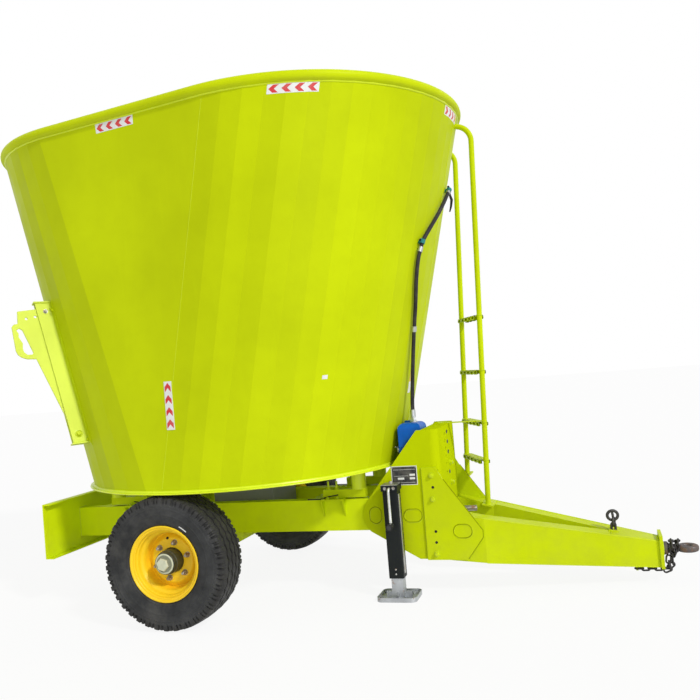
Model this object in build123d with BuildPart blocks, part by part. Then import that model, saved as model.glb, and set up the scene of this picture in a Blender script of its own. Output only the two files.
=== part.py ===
from build123d import *
from math import asin, cos, degrees, pi, radians, sin, tan
import os

# Towed single-auger feed mixer wagon, about 9 m3, in millimetres.
# X runs along the wagon, towards the hitch eye. Y runs to its left side and Z is up.
# The origin is on the ground, under the middle of the overall box.
# Places along X are named from the axle, which stands at AXLE_X.

os.makedirs("parts", exist_ok=True)

SIDES = (("right", -1), ("left", 1))  # name of the side, its sign along Y
GAP = 0.3  # running or seating gap between curved faces

# Tub: a bottom circle and an egg-shaped top, joined by flat folded facets
TUB_BOTTOM_Z = 774
TUB_TOP_Z = 2930
TUB_BOTTOM_C = 122  # centre of the bottom circle, from the axle
TUB_BOTTOM_R = 1032
TUB_FRONT_C = 593  # centre of the front arc at the top, from the axle
TUB_FRONT_R = 1089
TUB_REAR_C = -531  # centre of the rear arc at the top, from the axle
TUB_REAR_R = 914
TUB_WALL = 8
FRONT_FACETS = 30
REAR_FACETS = 20
FLAT_HALF = 3  # half the angle that the flat side panel takes of the circle, degrees
RIM_TUBE_R = 30
TUB_NOSE = TUB_BOTTOM_C + TUB_BOTTOM_R  # front edge at the floor, from the axle
TUB_PROW = TUB_FRONT_C + TUB_FRONT_R  # front edge at the top, from the axle

POST_FRONT = TUB_NOSE + 301  # front face of the post, from the axle

# Hitch eye
EYE_X = POST_FRONT + 1354  # centre of the eye, from the axle
EYE_Z = 188
EYE_R = 61
EYE_BORE_R = 25
EYE_T = 36
SHANK_IN_EYE = 26  # how far the shank runs into the eye's ring

# The overall length is centred on X = 0
REAR_REACH = TUB_REAR_R - TUB_WALL / 2 + RIM_TUBE_R - TUB_REAR_C
FRONT_REACH = EYE_X + EYE_R
AXLE_X = (REAR_REACH - FRONT_REACH) / 2


def at(x):
    """Place along X of a distance x from the axle."""
    return AXLE_X + x


def tub_arcs(z):
    """Centres and radii of the front and rear arcs at height z."""
    share = (z - TUB_BOTTOM_Z) / (TUB_TOP_Z - TUB_BOTTOM_Z)
    front_c = TUB_BOTTOM_C + share * (TUB_FRONT_C - TUB_BOTTOM_C)
    front_r = TUB_BOTTOM_R + share * (TUB_FRONT_R - TUB_BOTTOM_R)
    rear_c = TUB_BOTTOM_C + share * (TUB_REAR_C - TUB_BOTTOM_C)
    rear_r = TUB_BOTTOM_R + share * (TUB_REAR_R - TUB_BOTTOM_R)
    return at(front_c), front_r, at(rear_c), rear_r


# Angle at which the straight sides leave the front arc, from +X
FLAT_ANGLE = 90 + degrees(asin((TUB_FRONT_R - TUB_REAR_R) / (TUB_FRONT_C - TUB_REAR_C)))


def wall_point(angle, z, out=0):
    """Point on the tub's outer wall at a normal angle from +X, moved outwards."""
    front_c, front_r, rear_c, rear_r = tub_arcs(z)
    on_front = abs(angle) < FLAT_ANGLE
    centre, radius = (front_c, front_r) if on_front else (rear_c, rear_r)
    reach = radius + out
    return Vector(centre + reach * cos(radians(angle)), reach * sin(radians(angle)), z)


def tub_polygon(z, inset=0):
    """Corners of the folded skin at height z, moved in by inset."""
    front_c, front_r, rear_c, rear_r = tub_arcs(z)
    front_end = FLAT_ANGLE - FLAT_HALF
    rear_end = FLAT_ANGLE + FLAT_HALF
    corners = []
    for step in range(FRONT_FACETS + 1):
        turn = radians(-front_end + 2 * front_end * step / FRONT_FACETS)
        reach = front_r - inset
        corners.append((front_c + reach * cos(turn), reach * sin(turn)))
    for step in range(REAR_FACETS + 1):
        turn = radians(rear_end + (360 - 2 * rear_end) * step / REAR_FACETS)
        reach = rear_r - inset
        corners.append((rear_c + reach * cos(turn), reach * sin(turn)))
    return corners


# Wheels, 10.0/75-15.3 class
WHEEL_R = 380
TYRE_W = 264
TRACK = 1858
RIM_FLANGE_R = 215
BEAD_R = 194.5
RIM_WELL_R = 168
RIM_HALF_W = 116
RIM_T = 7
DISC_OFFSET = 11  # disc's place outboard of the tyre's middle
DISC_T = 10
DISC_HOLE_R = 70
DISC_FLAT_R = 124
DISC_DISH_R = 150
DISC_DISH = 30  # how far the dished part lies inboard of the flat
STUD_PCD = 205
STUD_COUNT = 6
STUD_R = 9
STUD_HOLE_R = 10
SPINDLE_R = 30
SPINDLE_GAP = 0.05
HUB_R = 62
HUB_FLANGE_R = 115
HUB_CAP_REACH = 105  # cap's end, outboard of the tyre's middle
HUB_TAIL = 95  # hub's inner end, inboard of the tyre's middle
TREAD_DROP = 6
SIDEWALL_IN = 3.8  # the sidewall arc's middle point, in from the widest line
GROOVE_DEPTH = 12
GROOVE_W = 14
GROOVE_PLACES = (-66, -22, 22, 66)


def wheel_plane(side):
    """Section plane of a wheel: local x outboard, local y out from the axle."""
    return Plane(origin=(AXLE_X, side * TRACK / 2, WHEEL_R), x_dir=(0, side, 0), z_dir=(side, 0, 0))


def wheel_face(side, out):
    """Plane square to the axle, a distance outboard of the tyre's middle."""
    return Plane(origin=(AXLE_X, side * (TRACK / 2 + out), WHEEL_R), x_dir=(1, 0, 0), z_dir=(0, side, 0))


AXLE_LINE = Axis((AXLE_X, 0, WHEEL_R), (0, 1, 0))

for side_name, side in SIDES:
    with BuildPart() as tyre:
        with BuildSketch(wheel_plane(side)):
            with BuildLine():
                bead = BEAD_R + GAP
                half = TYRE_W / 2
                shoulder = WHEEL_R - 18
                crown = half - 18
                Line((-RIM_HALF_W + RIM_T + 2, bead), (-RIM_HALF_W + 40, bead))
                Line((-RIM_HALF_W + 40, bead), (-half + 22, bead + 80))
                Line((-half + 22, bead + 80), (-crown + 14, WHEEL_R - 34))
                ThreePointArc((-crown + 14, WHEEL_R - 34), (0, WHEEL_R - 28), (crown - 14, WHEEL_R - 34))
                Line((crown - 14, WHEEL_R - 34), (half - 22, bead + 80))
                Line((half - 22, bead + 80), (RIM_HALF_W - 40, bead))
                Line((RIM_HALF_W - 40, bead), (RIM_HALF_W - RIM_T - 2, bead))
                Line((RIM_HALF_W - RIM_T - 2, bead), (RIM_HALF_W - RIM_T - 2, RIM_FLANGE_R + 4))
                bulge = half - SIDEWALL_IN
                ThreePointArc((RIM_HALF_W - RIM_T - 2, RIM_FLANGE_R + 4), (bulge, bead + 85), (half - 4, shoulder))
                Line((half - 4, shoulder), (crown, WHEEL_R - TREAD_DROP))
                ThreePointArc((crown, WHEEL_R - TREAD_DROP), (0, WHEEL_R), (-crown, WHEEL_R - TREAD_DROP))
                Line((-crown, WHEEL_R - TREAD_DROP), (-half + 4, shoulder))
                ThreePointArc(
                    (-half + 4, shoulder), (-bulge, bead + 85), (-RIM_HALF_W + RIM_T + 2, RIM_FLANGE_R + 4)
                )
                Line((-RIM_HALF_W + RIM_T + 2, RIM_FLANGE_R + 4), (-RIM_HALF_W + RIM_T + 2, bead))
            make_face()
            with Locations(*[(place, WHEEL_R) for place in GROOVE_PLACES]):
                Rectangle(GROOVE_W, 2 * GROOVE_DEPTH, mode=Mode.SUBTRACT)
        revolve(axis=AXLE_LINE)
    tyre.part.label = f"tyre_{side_name}"
    export_step(tyre.part, f"parts/tyre_{side_name}.step")

    with BuildPart() as rim:
        with BuildSketch(wheel_plane(side)):
            with BuildLine():
                lip = RIM_FLANGE_R
                seat = BEAD_R
                well = RIM_WELL_R
                Polyline(
                    (-RIM_HALF_W, lip),
                    (-RIM_HALF_W + RIM_T, lip),
                    (-RIM_HALF_W + RIM_T, seat),
                    (-60, seat - 3),
                    (-44, well),
                    (10, well),
                    (34, seat - 3),
                    (RIM_HALF_W - RIM_T, seat),
                    (RIM_HALF_W - RIM_T, lip),
                    (RIM_HALF_W, lip),
                    (RIM_HALF_W, seat - RIM_T),
                    (34 + RIM_T, seat - 3 - RIM_T),
                    (10 + RIM_T, well - RIM_T),
                    (-44 - RIM_T, well - RIM_T),
                    (-60 - RIM_T, seat - 3 - RIM_T),
                    (-RIM_HALF_W, seat - RIM_T),
                    close=True,
                )
            make_face()
        revolve(axis=AXLE_LINE)
        with BuildSketch(wheel_plane(side)):
            with BuildLine():
                Polyline(
                    (DISC_OFFSET, DISC_HOLE_R),
                    (DISC_OFFSET, DISC_FLAT_R),
                    (DISC_OFFSET - DISC_DISH, DISC_DISH_R),
                    (DISC_OFFSET - DISC_DISH, RIM_WELL_R - RIM_T / 2),
                    (DISC_OFFSET - DISC_DISH - DISC_T, RIM_WELL_R - RIM_T / 2),
                    (DISC_OFFSET - DISC_DISH - DISC_T, DISC_DISH_R - 3),
                    (DISC_OFFSET - DISC_T, DISC_FLAT_R - 4),
                    (DISC_OFFSET - DISC_T, DISC_HOLE_R),
                    close=True,
                )
            make_face()
        revolve(axis=AXLE_LINE)
        with BuildSketch(wheel_face(side, DISC_OFFSET)):
            with PolarLocations(STUD_PCD / 2, STUD_COUNT):
                Circle(STUD_HOLE_R)
        extrude(amount=-DISC_T, mode=Mode.SUBTRACT)
    rim.part.label = f"rim_{side_name}"
    export_step(rim.part, f"parts/rim_{side_name}.step")

    with BuildPart() as hub:
        with BuildSketch(wheel_plane(side)):
            back = DISC_OFFSET - DISC_T
            bore = SPINDLE_R + SPINDLE_GAP
            with BuildLine():
                Polyline(
                    (-HUB_TAIL, bore),
                    (-HUB_TAIL, HUB_R + 14),
                    (-HUB_TAIL + 30, HUB_R + 14),
                    (-HUB_TAIL + 40, HUB_R),
                    (back - 16, HUB_R),
                    (back - 16, HUB_FLANGE_R),
                    (back, HUB_FLANGE_R),
                    (back, DISC_HOLE_R - 2),
                    (HUB_CAP_REACH - 34, HUB_R + 3),
                    (HUB_CAP_REACH - 8, HUB_R),
                    (HUB_CAP_REACH, HUB_R - 12),
                    (HUB_CAP_REACH, 0),
                    (HUB_CAP_REACH - 12, 0),
                    (HUB_CAP_REACH - 12, bore),
                    close=True,
                )
            make_face()
        revolve(axis=AXLE_LINE)
        with BuildSketch(wheel_face(side, DISC_OFFSET - DISC_T)):
            with PolarLocations(STUD_PCD / 2, STUD_COUNT):
                Circle(STUD_R)
        extrude(amount=DISC_T + 34)
        with BuildSketch(wheel_face(side, DISC_OFFSET)):
            with PolarLocations(STUD_PCD / 2, STUD_COUNT):
                RegularPolygon(15, 6)
        extrude(amount=20)
    hub.part.label = f"hub_{side_name}"
    export_step(hub.part, f"parts/hub_{side_name}.step")

# Chassis rails: channels with their webs outboard
RAIL_REAR = -1077  # rear end, from the axle
RAIL_FRONT = POST_FRONT - 75
RAIL_TOP_Z = 579
RAIL_H = 192
RAIL_FLANGE = 75
RAIL_T = 10
RAIL_Y = 288  # outer face

for side_name, side in SIDES:
    with BuildPart() as rail:
        with BuildSketch(Plane.YZ.offset(at(RAIL_REAR))):
            with Locations((side * (RAIL_Y - RAIL_FLANGE / 2), RAIL_TOP_Z - RAIL_H / 2)):
                Rectangle(RAIL_FLANGE, RAIL_H)
            with Locations((side * (RAIL_Y - RAIL_T - RAIL_FLANGE / 2), RAIL_TOP_Z - RAIL_H / 2)):
                Rectangle(RAIL_FLANGE, RAIL_H - 2 * RAIL_T, mode=Mode.SUBTRACT)
        extrude(amount=RAIL_FRONT - RAIL_REAR)
    rail.part.label = f"rail_{side_name}"
    export_step(rail.part, f"parts/rail_{side_name}.step")

# Cross members between the webs
CROSS_PLACES = (-900, -420, 640)  # middles, from the axle
CROSS_W = 100
CROSS_H = 60

with BuildPart() as cross_members:
    with Locations(*[(at(place), 0, RAIL_TOP_Z - RAIL_T - CROSS_H / 2) for place in CROSS_PLACES]):
        Box(CROSS_W, 2 * (RAIL_Y - RAIL_T), CROSS_H)
cross_members.part.label = "cross_members"
export_step(cross_members.part, "parts/cross_members.step")

# Axle: a square beam under the rails, with raised blocks that carry the spindles
AXLE_BEAM = 90
AXLE_BLOCK_IN = 640
AXLE_BLOCK_OUT = 740
SPINDLE_END = TRACK / 2 + HUB_CAP_REACH - 16

with BuildPart() as axle_beam:
    with Locations((AXLE_X, 0, RAIL_TOP_Z - RAIL_H - AXLE_BEAM / 2)):
        Box(AXLE_BEAM, 2 * AXLE_BLOCK_OUT, AXLE_BEAM)
    beam_low = RAIL_TOP_Z - RAIL_H - AXLE_BEAM
    block_top = WHEEL_R + AXLE_BEAM / 2
    with Locations(*[(AXLE_X, s * (AXLE_BLOCK_IN + AXLE_BLOCK_OUT) / 2, beam_low) for _, s in SIDES]):
        Box(
            AXLE_BEAM,
            AXLE_BLOCK_OUT - AXLE_BLOCK_IN,
            block_top - beam_low,
            align=(Align.CENTER, Align.CENTER, Align.MIN),
        )
    with BuildSketch(Plane.XZ.offset(-SPINDLE_END)):
        with Locations((AXLE_X, WHEEL_R)):
            Circle(SPINDLE_R)
    extrude(amount=SPINDLE_END - AXLE_BLOCK_OUT)
    with BuildSketch(Plane.XZ.offset(SPINDLE_END)):
        with Locations((AXLE_X, WHEEL_R)):
            Circle(SPINDLE_R)
    extrude(amount=AXLE_BLOCK_OUT - SPINDLE_END)
axle_beam.part.label = "axle_beam"
export_step(axle_beam.part, "parts/axle_beam.step")

# Rear bumper: one folded plate across the rails' ends
BUMPER_HALF_W = 655
BUMPER_Z = (318, 668)  # bottom, top
BUMPER_T = 8
BUMPER_TOP_LIP = 50
BUMPER_LOW_LIP = 60

with BuildPart() as rear_bumper:
    with BuildSketch(Plane.XZ.offset(-BUMPER_HALF_W)):
        with BuildLine():
            x0 = at(RAIL_REAR) - BUMPER_T
            low, high = BUMPER_Z
            Polyline(
                (x0, low),
                (x0, high),
                (x0 + BUMPER_TOP_LIP, high),
                (x0 + BUMPER_TOP_LIP, high - BUMPER_T),
                (x0 + BUMPER_T, high - BUMPER_T),
                (x0 + BUMPER_T, low + BUMPER_T),
                (x0 + BUMPER_LOW_LIP, low + BUMPER_T),
                (x0 + BUMPER_LOW_LIP, low),
                close=True,
            )
        make_face()
    extrude(amount=2 * BUMPER_HALF_W)
rear_bumper.part.label = "rear_bumper"
export_step(rear_bumper.part, "parts/rear_bumper.step")

# Front post: one plate folded to a U, with a top plate
POST_Y = 300  # outer face of its sides
POST_T = 12
POST_BEND = 50
POST_TOP_Z = 980
POST_LOW_Z = 211
POST_SLOPE_FOOT = (POST_FRONT - 470, 560)  # where the slanted edge meets the round end: X, Z
POST_SLOPE_HEAD = (POST_FRONT - 127, POST_TOP_Z)
POST_ROUND_MID = (POST_FRONT - 498, 480)
POST_ROUND_END = (POST_FRONT - 450, 378)
POST_LOW_CORNER = (POST_FRONT - 160, POST_LOW_Z)
POST_MOUTH_Z = 492  # lower edge of the front face
POST_LID_X = POST_FRONT - 103  # rear edge of the top plate, from the axle
POST_HOLE_R = 11
POST_HOLES_Z = (930, 885, 838, 790, 742, 690)
POST_HOLE_Y = -60

# Oil tank behind the post, on a shelf of the post
TANK_X = (POST_FRONT - 250, POST_FRONT - 108)  # rear and front faces, from the axle
TANK_Y = (-250, -70)
TANK_Z = (740, 1020)
TANK_ROUND = 34
SHELF_T = 10
SHELF_RIM = 15

with BuildPart() as front_post:
    with BuildSketch(Plane.XY.offset(POST_LOW_Z)):
        with Locations((at(POST_FRONT) - 300, 0)):
            Rectangle(600, 2 * POST_Y)
    extrude(amount=POST_TOP_Z - POST_LOW_Z)
    fillet(front_post.edges().filter_by(Axis.Z).group_by(Axis.X)[-1], POST_BEND)
    with BuildSketch(Plane.XY.offset(POST_LOW_Z)):
        with Locations((at(POST_FRONT) - 300 - POST_T, 0)):
            RectangleRounded(600, 2 * (POST_Y - POST_T), POST_BEND - POST_T)
    extrude(amount=POST_TOP_Z - POST_LOW_Z - POST_T, mode=Mode.SUBTRACT)
    with Locations((at(POST_LID_X), 0, POST_TOP_Z - POST_T)):
        Box(
            600,
            2 * (POST_Y - POST_T),
            POST_T,
            align=(Align.MAX, Align.CENTER, Align.MIN),
            mode=Mode.SUBTRACT,
        )
    with BuildSketch(Plane.XZ.offset(-POST_Y)):
        with BuildLine():
            Line((at(POST_SLOPE_HEAD[0]), POST_TOP_Z), (at(POST_SLOPE_FOOT[0]), POST_SLOPE_FOOT[1]))
            ThreePointArc(
                (at(POST_SLOPE_FOOT[0]), POST_SLOPE_FOOT[1]),
                (at(POST_ROUND_MID[0]), POST_ROUND_MID[1]),
                (at(POST_ROUND_END[0]), POST_ROUND_END[1]),
            )
            Polyline(
                (at(POST_ROUND_END[0]), POST_ROUND_END[1]),
                (at(POST_LOW_CORNER[0]), POST_LOW_Z),
                (at(POST_FRONT), POST_LOW_Z),
                (at(POST_FRONT), POST_TOP_Z),
                (at(POST_SLOPE_HEAD[0]), POST_TOP_Z),
            )
        make_face()
    extrude(amount=2 * POST_Y, mode=Mode.INTERSECT)
    with Locations((at(POST_FRONT) - POST_BEND / 2, 0, POST_LOW_Z)):
        Box(
            POST_BEND,
            2 * (POST_Y - POST_T),
            POST_MOUTH_Z - POST_LOW_Z,
            align=(Align.CENTER, Align.CENTER, Align.MIN),
            mode=Mode.SUBTRACT,
        )
    with BuildSketch(Plane.YZ.offset(at(POST_FRONT))):
        with Locations(*[(POST_HOLE_Y, z) for z in POST_HOLES_Z]):
            Circle(POST_HOLE_R)
    extrude(amount=-POST_T, mode=Mode.SUBTRACT)
    with Locations((at(TANK_X[0]), -POST_Y + POST_T, TANK_Z[0])):
        Box(
            POST_FRONT - POST_T - TANK_X[0],
            TANK_Y[1] + POST_Y - POST_T + SHELF_RIM,
            SHELF_T,
            align=(Align.MIN, Align.MIN, Align.MAX),
        )
front_post.part.label = "front_post"
export_step(front_post.part, "parts/front_post.step")

# Gusset plates that tie the drawbar beams to the post
GUSSET_T = 12
GUSSET_OUTLINE = (  # X from the post's front, Z
    (-113, 207),
    (-110, 754),
    (-25, 754),
    (11, 690),
    (227, 380),
    (227, 338),
    (126, 207),
)

for side_name, side in SIDES:
    with BuildPart() as gusset:
        with BuildSketch(Plane.XZ.offset(-side * POST_Y)):
            Polygon(*[(at(POST_FRONT + x), z) for x, z in GUSSET_OUTLINE], align=None)
        extrude(amount=-side * GUSSET_T)
    gusset.part.label = f"gusset_plate_{side_name}"
    export_step(gusset.part, f"parts/gusset_plate_{side_name}.step")

# Drawbar: two tapering box beams that meet at the front
BEAM_ROOT = POST_FRONT + 2
BEAM_BEND = POST_FRONT + 235
BEAM_NOSE = POST_FRONT + 1200
BEAM_MEET = POST_FRONT + 945
BEAM_W = 122
BEAM_NOSE_Y = 76
BEAM_ROOT_Z = (205, 488)  # bottom, top
BEAM_NOSE_Z = (96, 244)

for side_name, side in SIDES:
    with BuildPart() as beam:
        with BuildSketch():
            Polygon(
                (at(BEAM_ROOT), side * (POST_Y - BEAM_W)),
                (at(BEAM_ROOT), side * POST_Y),
                (at(BEAM_BEND), side * POST_Y),
                (at(BEAM_NOSE), side * BEAM_NOSE_Y),
                (at(BEAM_NOSE), 0),
                (at(BEAM_MEET), 0),
                (at(BEAM_BEND), side * (POST_Y - BEAM_W)),
                align=None,
            )
        extrude(amount=BEAM_ROOT_Z[1])
        with BuildSketch(Plane.XZ.offset(-POST_Y)):
            Polygon(
                (at(BEAM_ROOT), BEAM_ROOT_Z[0]),
                (at(BEAM_ROOT), BEAM_ROOT_Z[1]),
                (at(BEAM_NOSE), BEAM_NOSE_Z[1]),
                (at(BEAM_NOSE), BEAM_NOSE_Z[0]),
                align=None,
            )
        extrude(amount=2 * POST_Y, mode=Mode.INTERSECT)
    beam.part.label = f"drawbar_beam_{side_name}"
    export_step(beam.part, f"parts/drawbar_beam_{side_name}.step")

def beam_top(x):
    """Height of the drawbar beams' top at a distance from the axle."""
    share = (x - BEAM_ROOT) / (BEAM_NOSE - BEAM_ROOT)
    return BEAM_ROOT_Z[1] + share * (BEAM_NOSE_Z[1] - BEAM_ROOT_Z[1])


def beam_bottom(x):
    """Height of the drawbar beams' underside at a distance from the axle."""
    share = (x - BEAM_ROOT) / (BEAM_NOSE - BEAM_ROOT)
    return BEAM_ROOT_Z[0] + share * (BEAM_NOSE_Z[0] - BEAM_ROOT_Z[0])


# Hitch: end plate with a lug under the beams, shank and eye
LUG_X = BEAM_NOSE - 125.7  # front of the lug that the chain hangs on, from the axle
LUG_LOW_Z = 58
LUG_W = 12
LUG_T = 8
HITCH_PLATE_T = 18
HITCH_PLATE_Z = (88, 276)
HITCH_PLATE_HALF_W = 92
SHANK_R = 24
SHANK_COLLAR_R = 38
SHANK_COLLAR_L = 26

with BuildPart() as hitch_plate:
    with BuildSketch(Plane.YZ.offset(at(BEAM_NOSE))):
        with Locations((0, sum(HITCH_PLATE_Z) / 2)):
            Rectangle(2 * HITCH_PLATE_HALF_W, HITCH_PLATE_Z[1] - HITCH_PLATE_Z[0])
    extrude(amount=HITCH_PLATE_T)
    with BuildSketch(Plane.XZ):
        lug_rear = LUG_X - LUG_W
        Polygon(
            (at(lug_rear), LUG_LOW_Z),
            (at(LUG_X), LUG_LOW_Z),
            (at(LUG_X), beam_bottom(LUG_X)),
            (at(lug_rear), beam_bottom(lug_rear)),
            align=None,
        )
    extrude(amount=LUG_T / 2, both=True)
hitch_plate.part.label = "hitch_plate"
export_step(hitch_plate.part, "parts/hitch_plate.step")

with BuildPart() as hitch_eye:
    with BuildSketch(Plane.XY.offset(EYE_Z - EYE_T / 2)):
        with Locations((at(EYE_X), 0)):
            Circle(EYE_R)
    extrude(amount=EYE_T)
    shank_start = at(BEAM_NOSE + HITCH_PLATE_T)
    with BuildSketch(Plane.YZ.offset(shank_start)):
        with Locations((0, EYE_Z)):
            Circle(SHANK_R)
    extrude(amount=at(EYE_X - EYE_R + SHANK_IN_EYE) - shank_start)
    with BuildSketch(Plane.YZ.offset(shank_start)):
        with Locations((0, EYE_Z)):
            Circle(SHANK_COLLAR_R)
    extrude(amount=SHANK_COLLAR_L)
    with BuildSketch(Plane.XY.offset(EYE_Z - EYE_T)):
        with Locations((at(EYE_X), 0)):
            Circle(EYE_BORE_R)
    extrude(amount=2 * EYE_T, mode=Mode.SUBTRACT)
hitch_eye.part.label = "hitch_eye"
export_step(hitch_eye.part, "parts/hitch_eye.step")

# Rest for the drive shaft: a rod with a ring, standing on the beams' sloped top
REST_X = BEAM_MEET + 10
REST_R = 30
REST_ROD_R = 9
REST_CENTRE_Z = 385
REST_FOOT_L = 60
REST_FOOT_W = 70
REST_FOOT_T = 8


def sloped_pad(x_low, x_high, thick):
    """Corners of a plate that lies on the beams' top, seen from the side."""
    return (
        (at(x_low), beam_top(x_low)),
        (at(x_high), beam_top(x_high)),
        (at(x_high), beam_top(x_high) + thick),
        (at(x_low), beam_top(x_low) + thick),
    )


with BuildPart() as shaft_rest:
    with BuildSketch(Plane.XZ):
        Polygon(*sloped_pad(REST_X - REST_FOOT_L / 2, REST_X + REST_FOOT_L / 2, REST_FOOT_T), align=None)
    extrude(amount=REST_FOOT_W / 2, both=True)
    rod_low = beam_top(REST_X) + REST_FOOT_T / 2
    with BuildSketch(Plane.XY.offset(rod_low)):
        with Locations((at(REST_X), 0)):
            Circle(REST_ROD_R)
    extrude(amount=REST_CENTRE_Z - REST_R - rod_low)
    with Locations(Plane(origin=(at(REST_X), 0, REST_CENTRE_Z), x_dir=(1, 0, 0), z_dir=(0, -1, 0))):
        Torus(REST_R, REST_ROD_R)
shaft_rest.part.label = "shaft_rest"
export_step(shaft_rest.part, "parts/shaft_rest.step")

# Safety chain: links turned in turn, round the shank and back under the beams
LINK_T = 8
LINK_W = 32
LINK_PITCH = 36  # inner length of a link
CHAIN_X = BEAM_NOSE + 67  # plane of the loop, from the axle
CHAIN_LOOP = 7
CHAIN_LOOP_R = SHANK_R + LINK_W / 2
CHAIN_RUN = (  # middle of a link: X behind the loop, Z, tilt from level, turned upright
    (0, 116, 90, False),
    (12, 85, 40, True),
    (44, 70, 0, False),
    (80, 70, 0, True),
    (116, 70, 0, False),
    (152, 70, 0, True),
    (188, 70, 0, False),
)


def link_plane(middle, run, spread):
    """Plane of one chain link: local x along its run, local y across its hole."""
    return Plane(origin=middle, x_dir=run, z_dir=run.cross(spread))


link_planes = []
for number in range(CHAIN_LOOP):
    turn = radians(-90 + 360 * (number + 0.5) / CHAIN_LOOP)
    radial = Vector(0, cos(turn), sin(turn))
    run = Vector(0, -sin(turn), cos(turn))
    middle = Vector(at(CHAIN_X), 0, EYE_Z) + radial * CHAIN_LOOP_R
    link_planes.append(link_plane(middle, run, Vector(1, 0, 0) if number % 2 else radial))
for behind, z, tilt, upright in CHAIN_RUN:
    run = Vector(cos(radians(tilt)), 0, sin(radians(tilt)))
    spread = Vector(-run.Z, 0, run.X) if upright else Vector(0, 1, 0)
    link_planes.append(link_plane(Vector(at(CHAIN_X - behind), 0, z), run, spread))

with BuildPart() as safety_chain:
    for place in link_planes:
        with BuildSketch(place):
            SlotOverall(LINK_PITCH + 2 * LINK_T, LINK_W)
            SlotOverall(LINK_PITCH, LINK_W - 2 * LINK_T, mode=Mode.SUBTRACT)
        extrude(amount=LINK_T / 2, both=True)
safety_chain.part.label = "safety_chain"
export_step(safety_chain.part, "parts/safety_chain.step")

# Jack on the right side plate
JACK_X = POST_FRONT - 290
JACK_TUBE = 90
JACK_TOP_T = 6
JACK_STANDOFF = 22
JACK_Y = -(POST_Y + JACK_STANDOFF + JACK_TUBE / 2)
JACK_TUBE_Z = (125, 640)
JACK_LEG = 70
JACK_LEG_TOP_Z = 330
JACK_FOOT = 240
JACK_FOOT_W = 200
JACK_FOOT_T = 8
JACK_FOOT_RIM_Z = 26  # top of the foot's raised edge
JACK_FOOT_RIM_T = 6
JACK_FOOT_ROUND = 34
JACK_FOOT_RIB_Z = 42
JACK_FOOT_RIB = 10
JACK_BLOCK = (70, 180)  # length and height of the block between tube and post
JACK_BLOCK_Z = 500

with BuildPart() as jack_tube:
    with BuildSketch(Plane.XY.offset(JACK_TUBE_Z[0])):
        with Locations((at(JACK_X), JACK_Y)):
            RectangleRounded(JACK_TUBE, JACK_TUBE, 8)
    extrude(amount=JACK_TUBE_Z[1] - JACK_TUBE_Z[0])
    with BuildSketch(Plane.XY.offset(JACK_TUBE_Z[0])):
        with Locations((at(JACK_X), JACK_Y)):
            Rectangle(JACK_LEG + 2 * GAP, JACK_LEG + 2 * GAP)
    extrude(amount=JACK_TUBE_Z[1] - JACK_TUBE_Z[0] - JACK_TOP_T, mode=Mode.SUBTRACT)
    with Locations((at(JACK_X), JACK_Y, JACK_TUBE_Z[1])):
        Box(JACK_TUBE + 12, JACK_TUBE + 12, 34, align=(Align.CENTER, Align.CENTER, Align.MIN))
    with Locations((at(JACK_X), -POST_Y - JACK_STANDOFF / 2, JACK_BLOCK_Z)):
        Box(JACK_BLOCK[0], JACK_STANDOFF, JACK_BLOCK[1])
jack_tube.part.label = "jack_tube"
export_step(jack_tube.part, "parts/jack_tube.step")

CRANK_R = 8
CRANK_TOP_Z = 655
CRANK_LOW_Z = 440
CRANK_Y = JACK_Y - JACK_TUBE / 2 - 28

with BuildPart() as jack_crank:
    with BuildLine() as crank_path:
        head_y = JACK_Y - JACK_TUBE / 2 - 6
        FilletPolyline(
            (at(JACK_X), head_y, CRANK_TOP_Z),
            (at(JACK_X), CRANK_Y, CRANK_TOP_Z),
            (at(JACK_X), CRANK_Y, CRANK_LOW_Z),
            radius=16,
        )
    with BuildSketch(Plane(origin=crank_path.line @ 0, z_dir=crank_path.line % 0)):
        Circle(CRANK_R)
    sweep()
    with BuildSketch(Plane.XZ.offset(-CRANK_Y - 12)):
        with Locations((at(JACK_X), CRANK_LOW_Z)):
            Circle(17)
    extrude(amount=60)
jack_crank.part.label = "jack_crank"
export_step(jack_crank.part, "parts/jack_crank.step")

with BuildPart() as jack_leg:
    with BuildSketch(Plane.XY):
        with Locations((at(JACK_X), JACK_Y)):
            RectangleRounded(JACK_FOOT, JACK_FOOT_W, JACK_FOOT_ROUND)
    extrude(amount=JACK_FOOT_RIM_Z)
    with BuildSketch(Plane.XY.offset(JACK_FOOT_T)):
        with Locations((at(JACK_X), JACK_Y)):
            dish_l = JACK_FOOT - 2 * JACK_FOOT_RIM_T
            dish_w = JACK_FOOT_W - 2 * JACK_FOOT_RIM_T
            RectangleRounded(dish_l, dish_w, JACK_FOOT_ROUND - JACK_FOOT_RIM_T)
    extrude(amount=JACK_FOOT_RIM_Z, mode=Mode.SUBTRACT)
    with BuildSketch(Plane.XY.offset(JACK_FOOT_T)):
        with Locations((at(JACK_X), JACK_Y)):
            Rectangle(JACK_LEG, JACK_LEG)
    extrude(amount=JACK_LEG_TOP_Z - JACK_FOOT_T)
    with Locations((at(JACK_X), JACK_Y, JACK_FOOT_T)):
        rib_h = JACK_FOOT_RIB_Z - JACK_FOOT_T
        rib_l = (JACK_FOOT + JACK_LEG) / 2
        rib_w = (JACK_FOOT_W + JACK_LEG) / 2
        Box(rib_l, JACK_FOOT_RIB, rib_h, align=(Align.CENTER, Align.CENTER, Align.MIN))
        Box(JACK_FOOT_RIB, rib_w, rib_h, align=(Align.CENTER, Align.CENTER, Align.MIN))
jack_leg.part.label = "jack_leg"
export_step(jack_leg.part, "parts/jack_leg.step")

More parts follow.
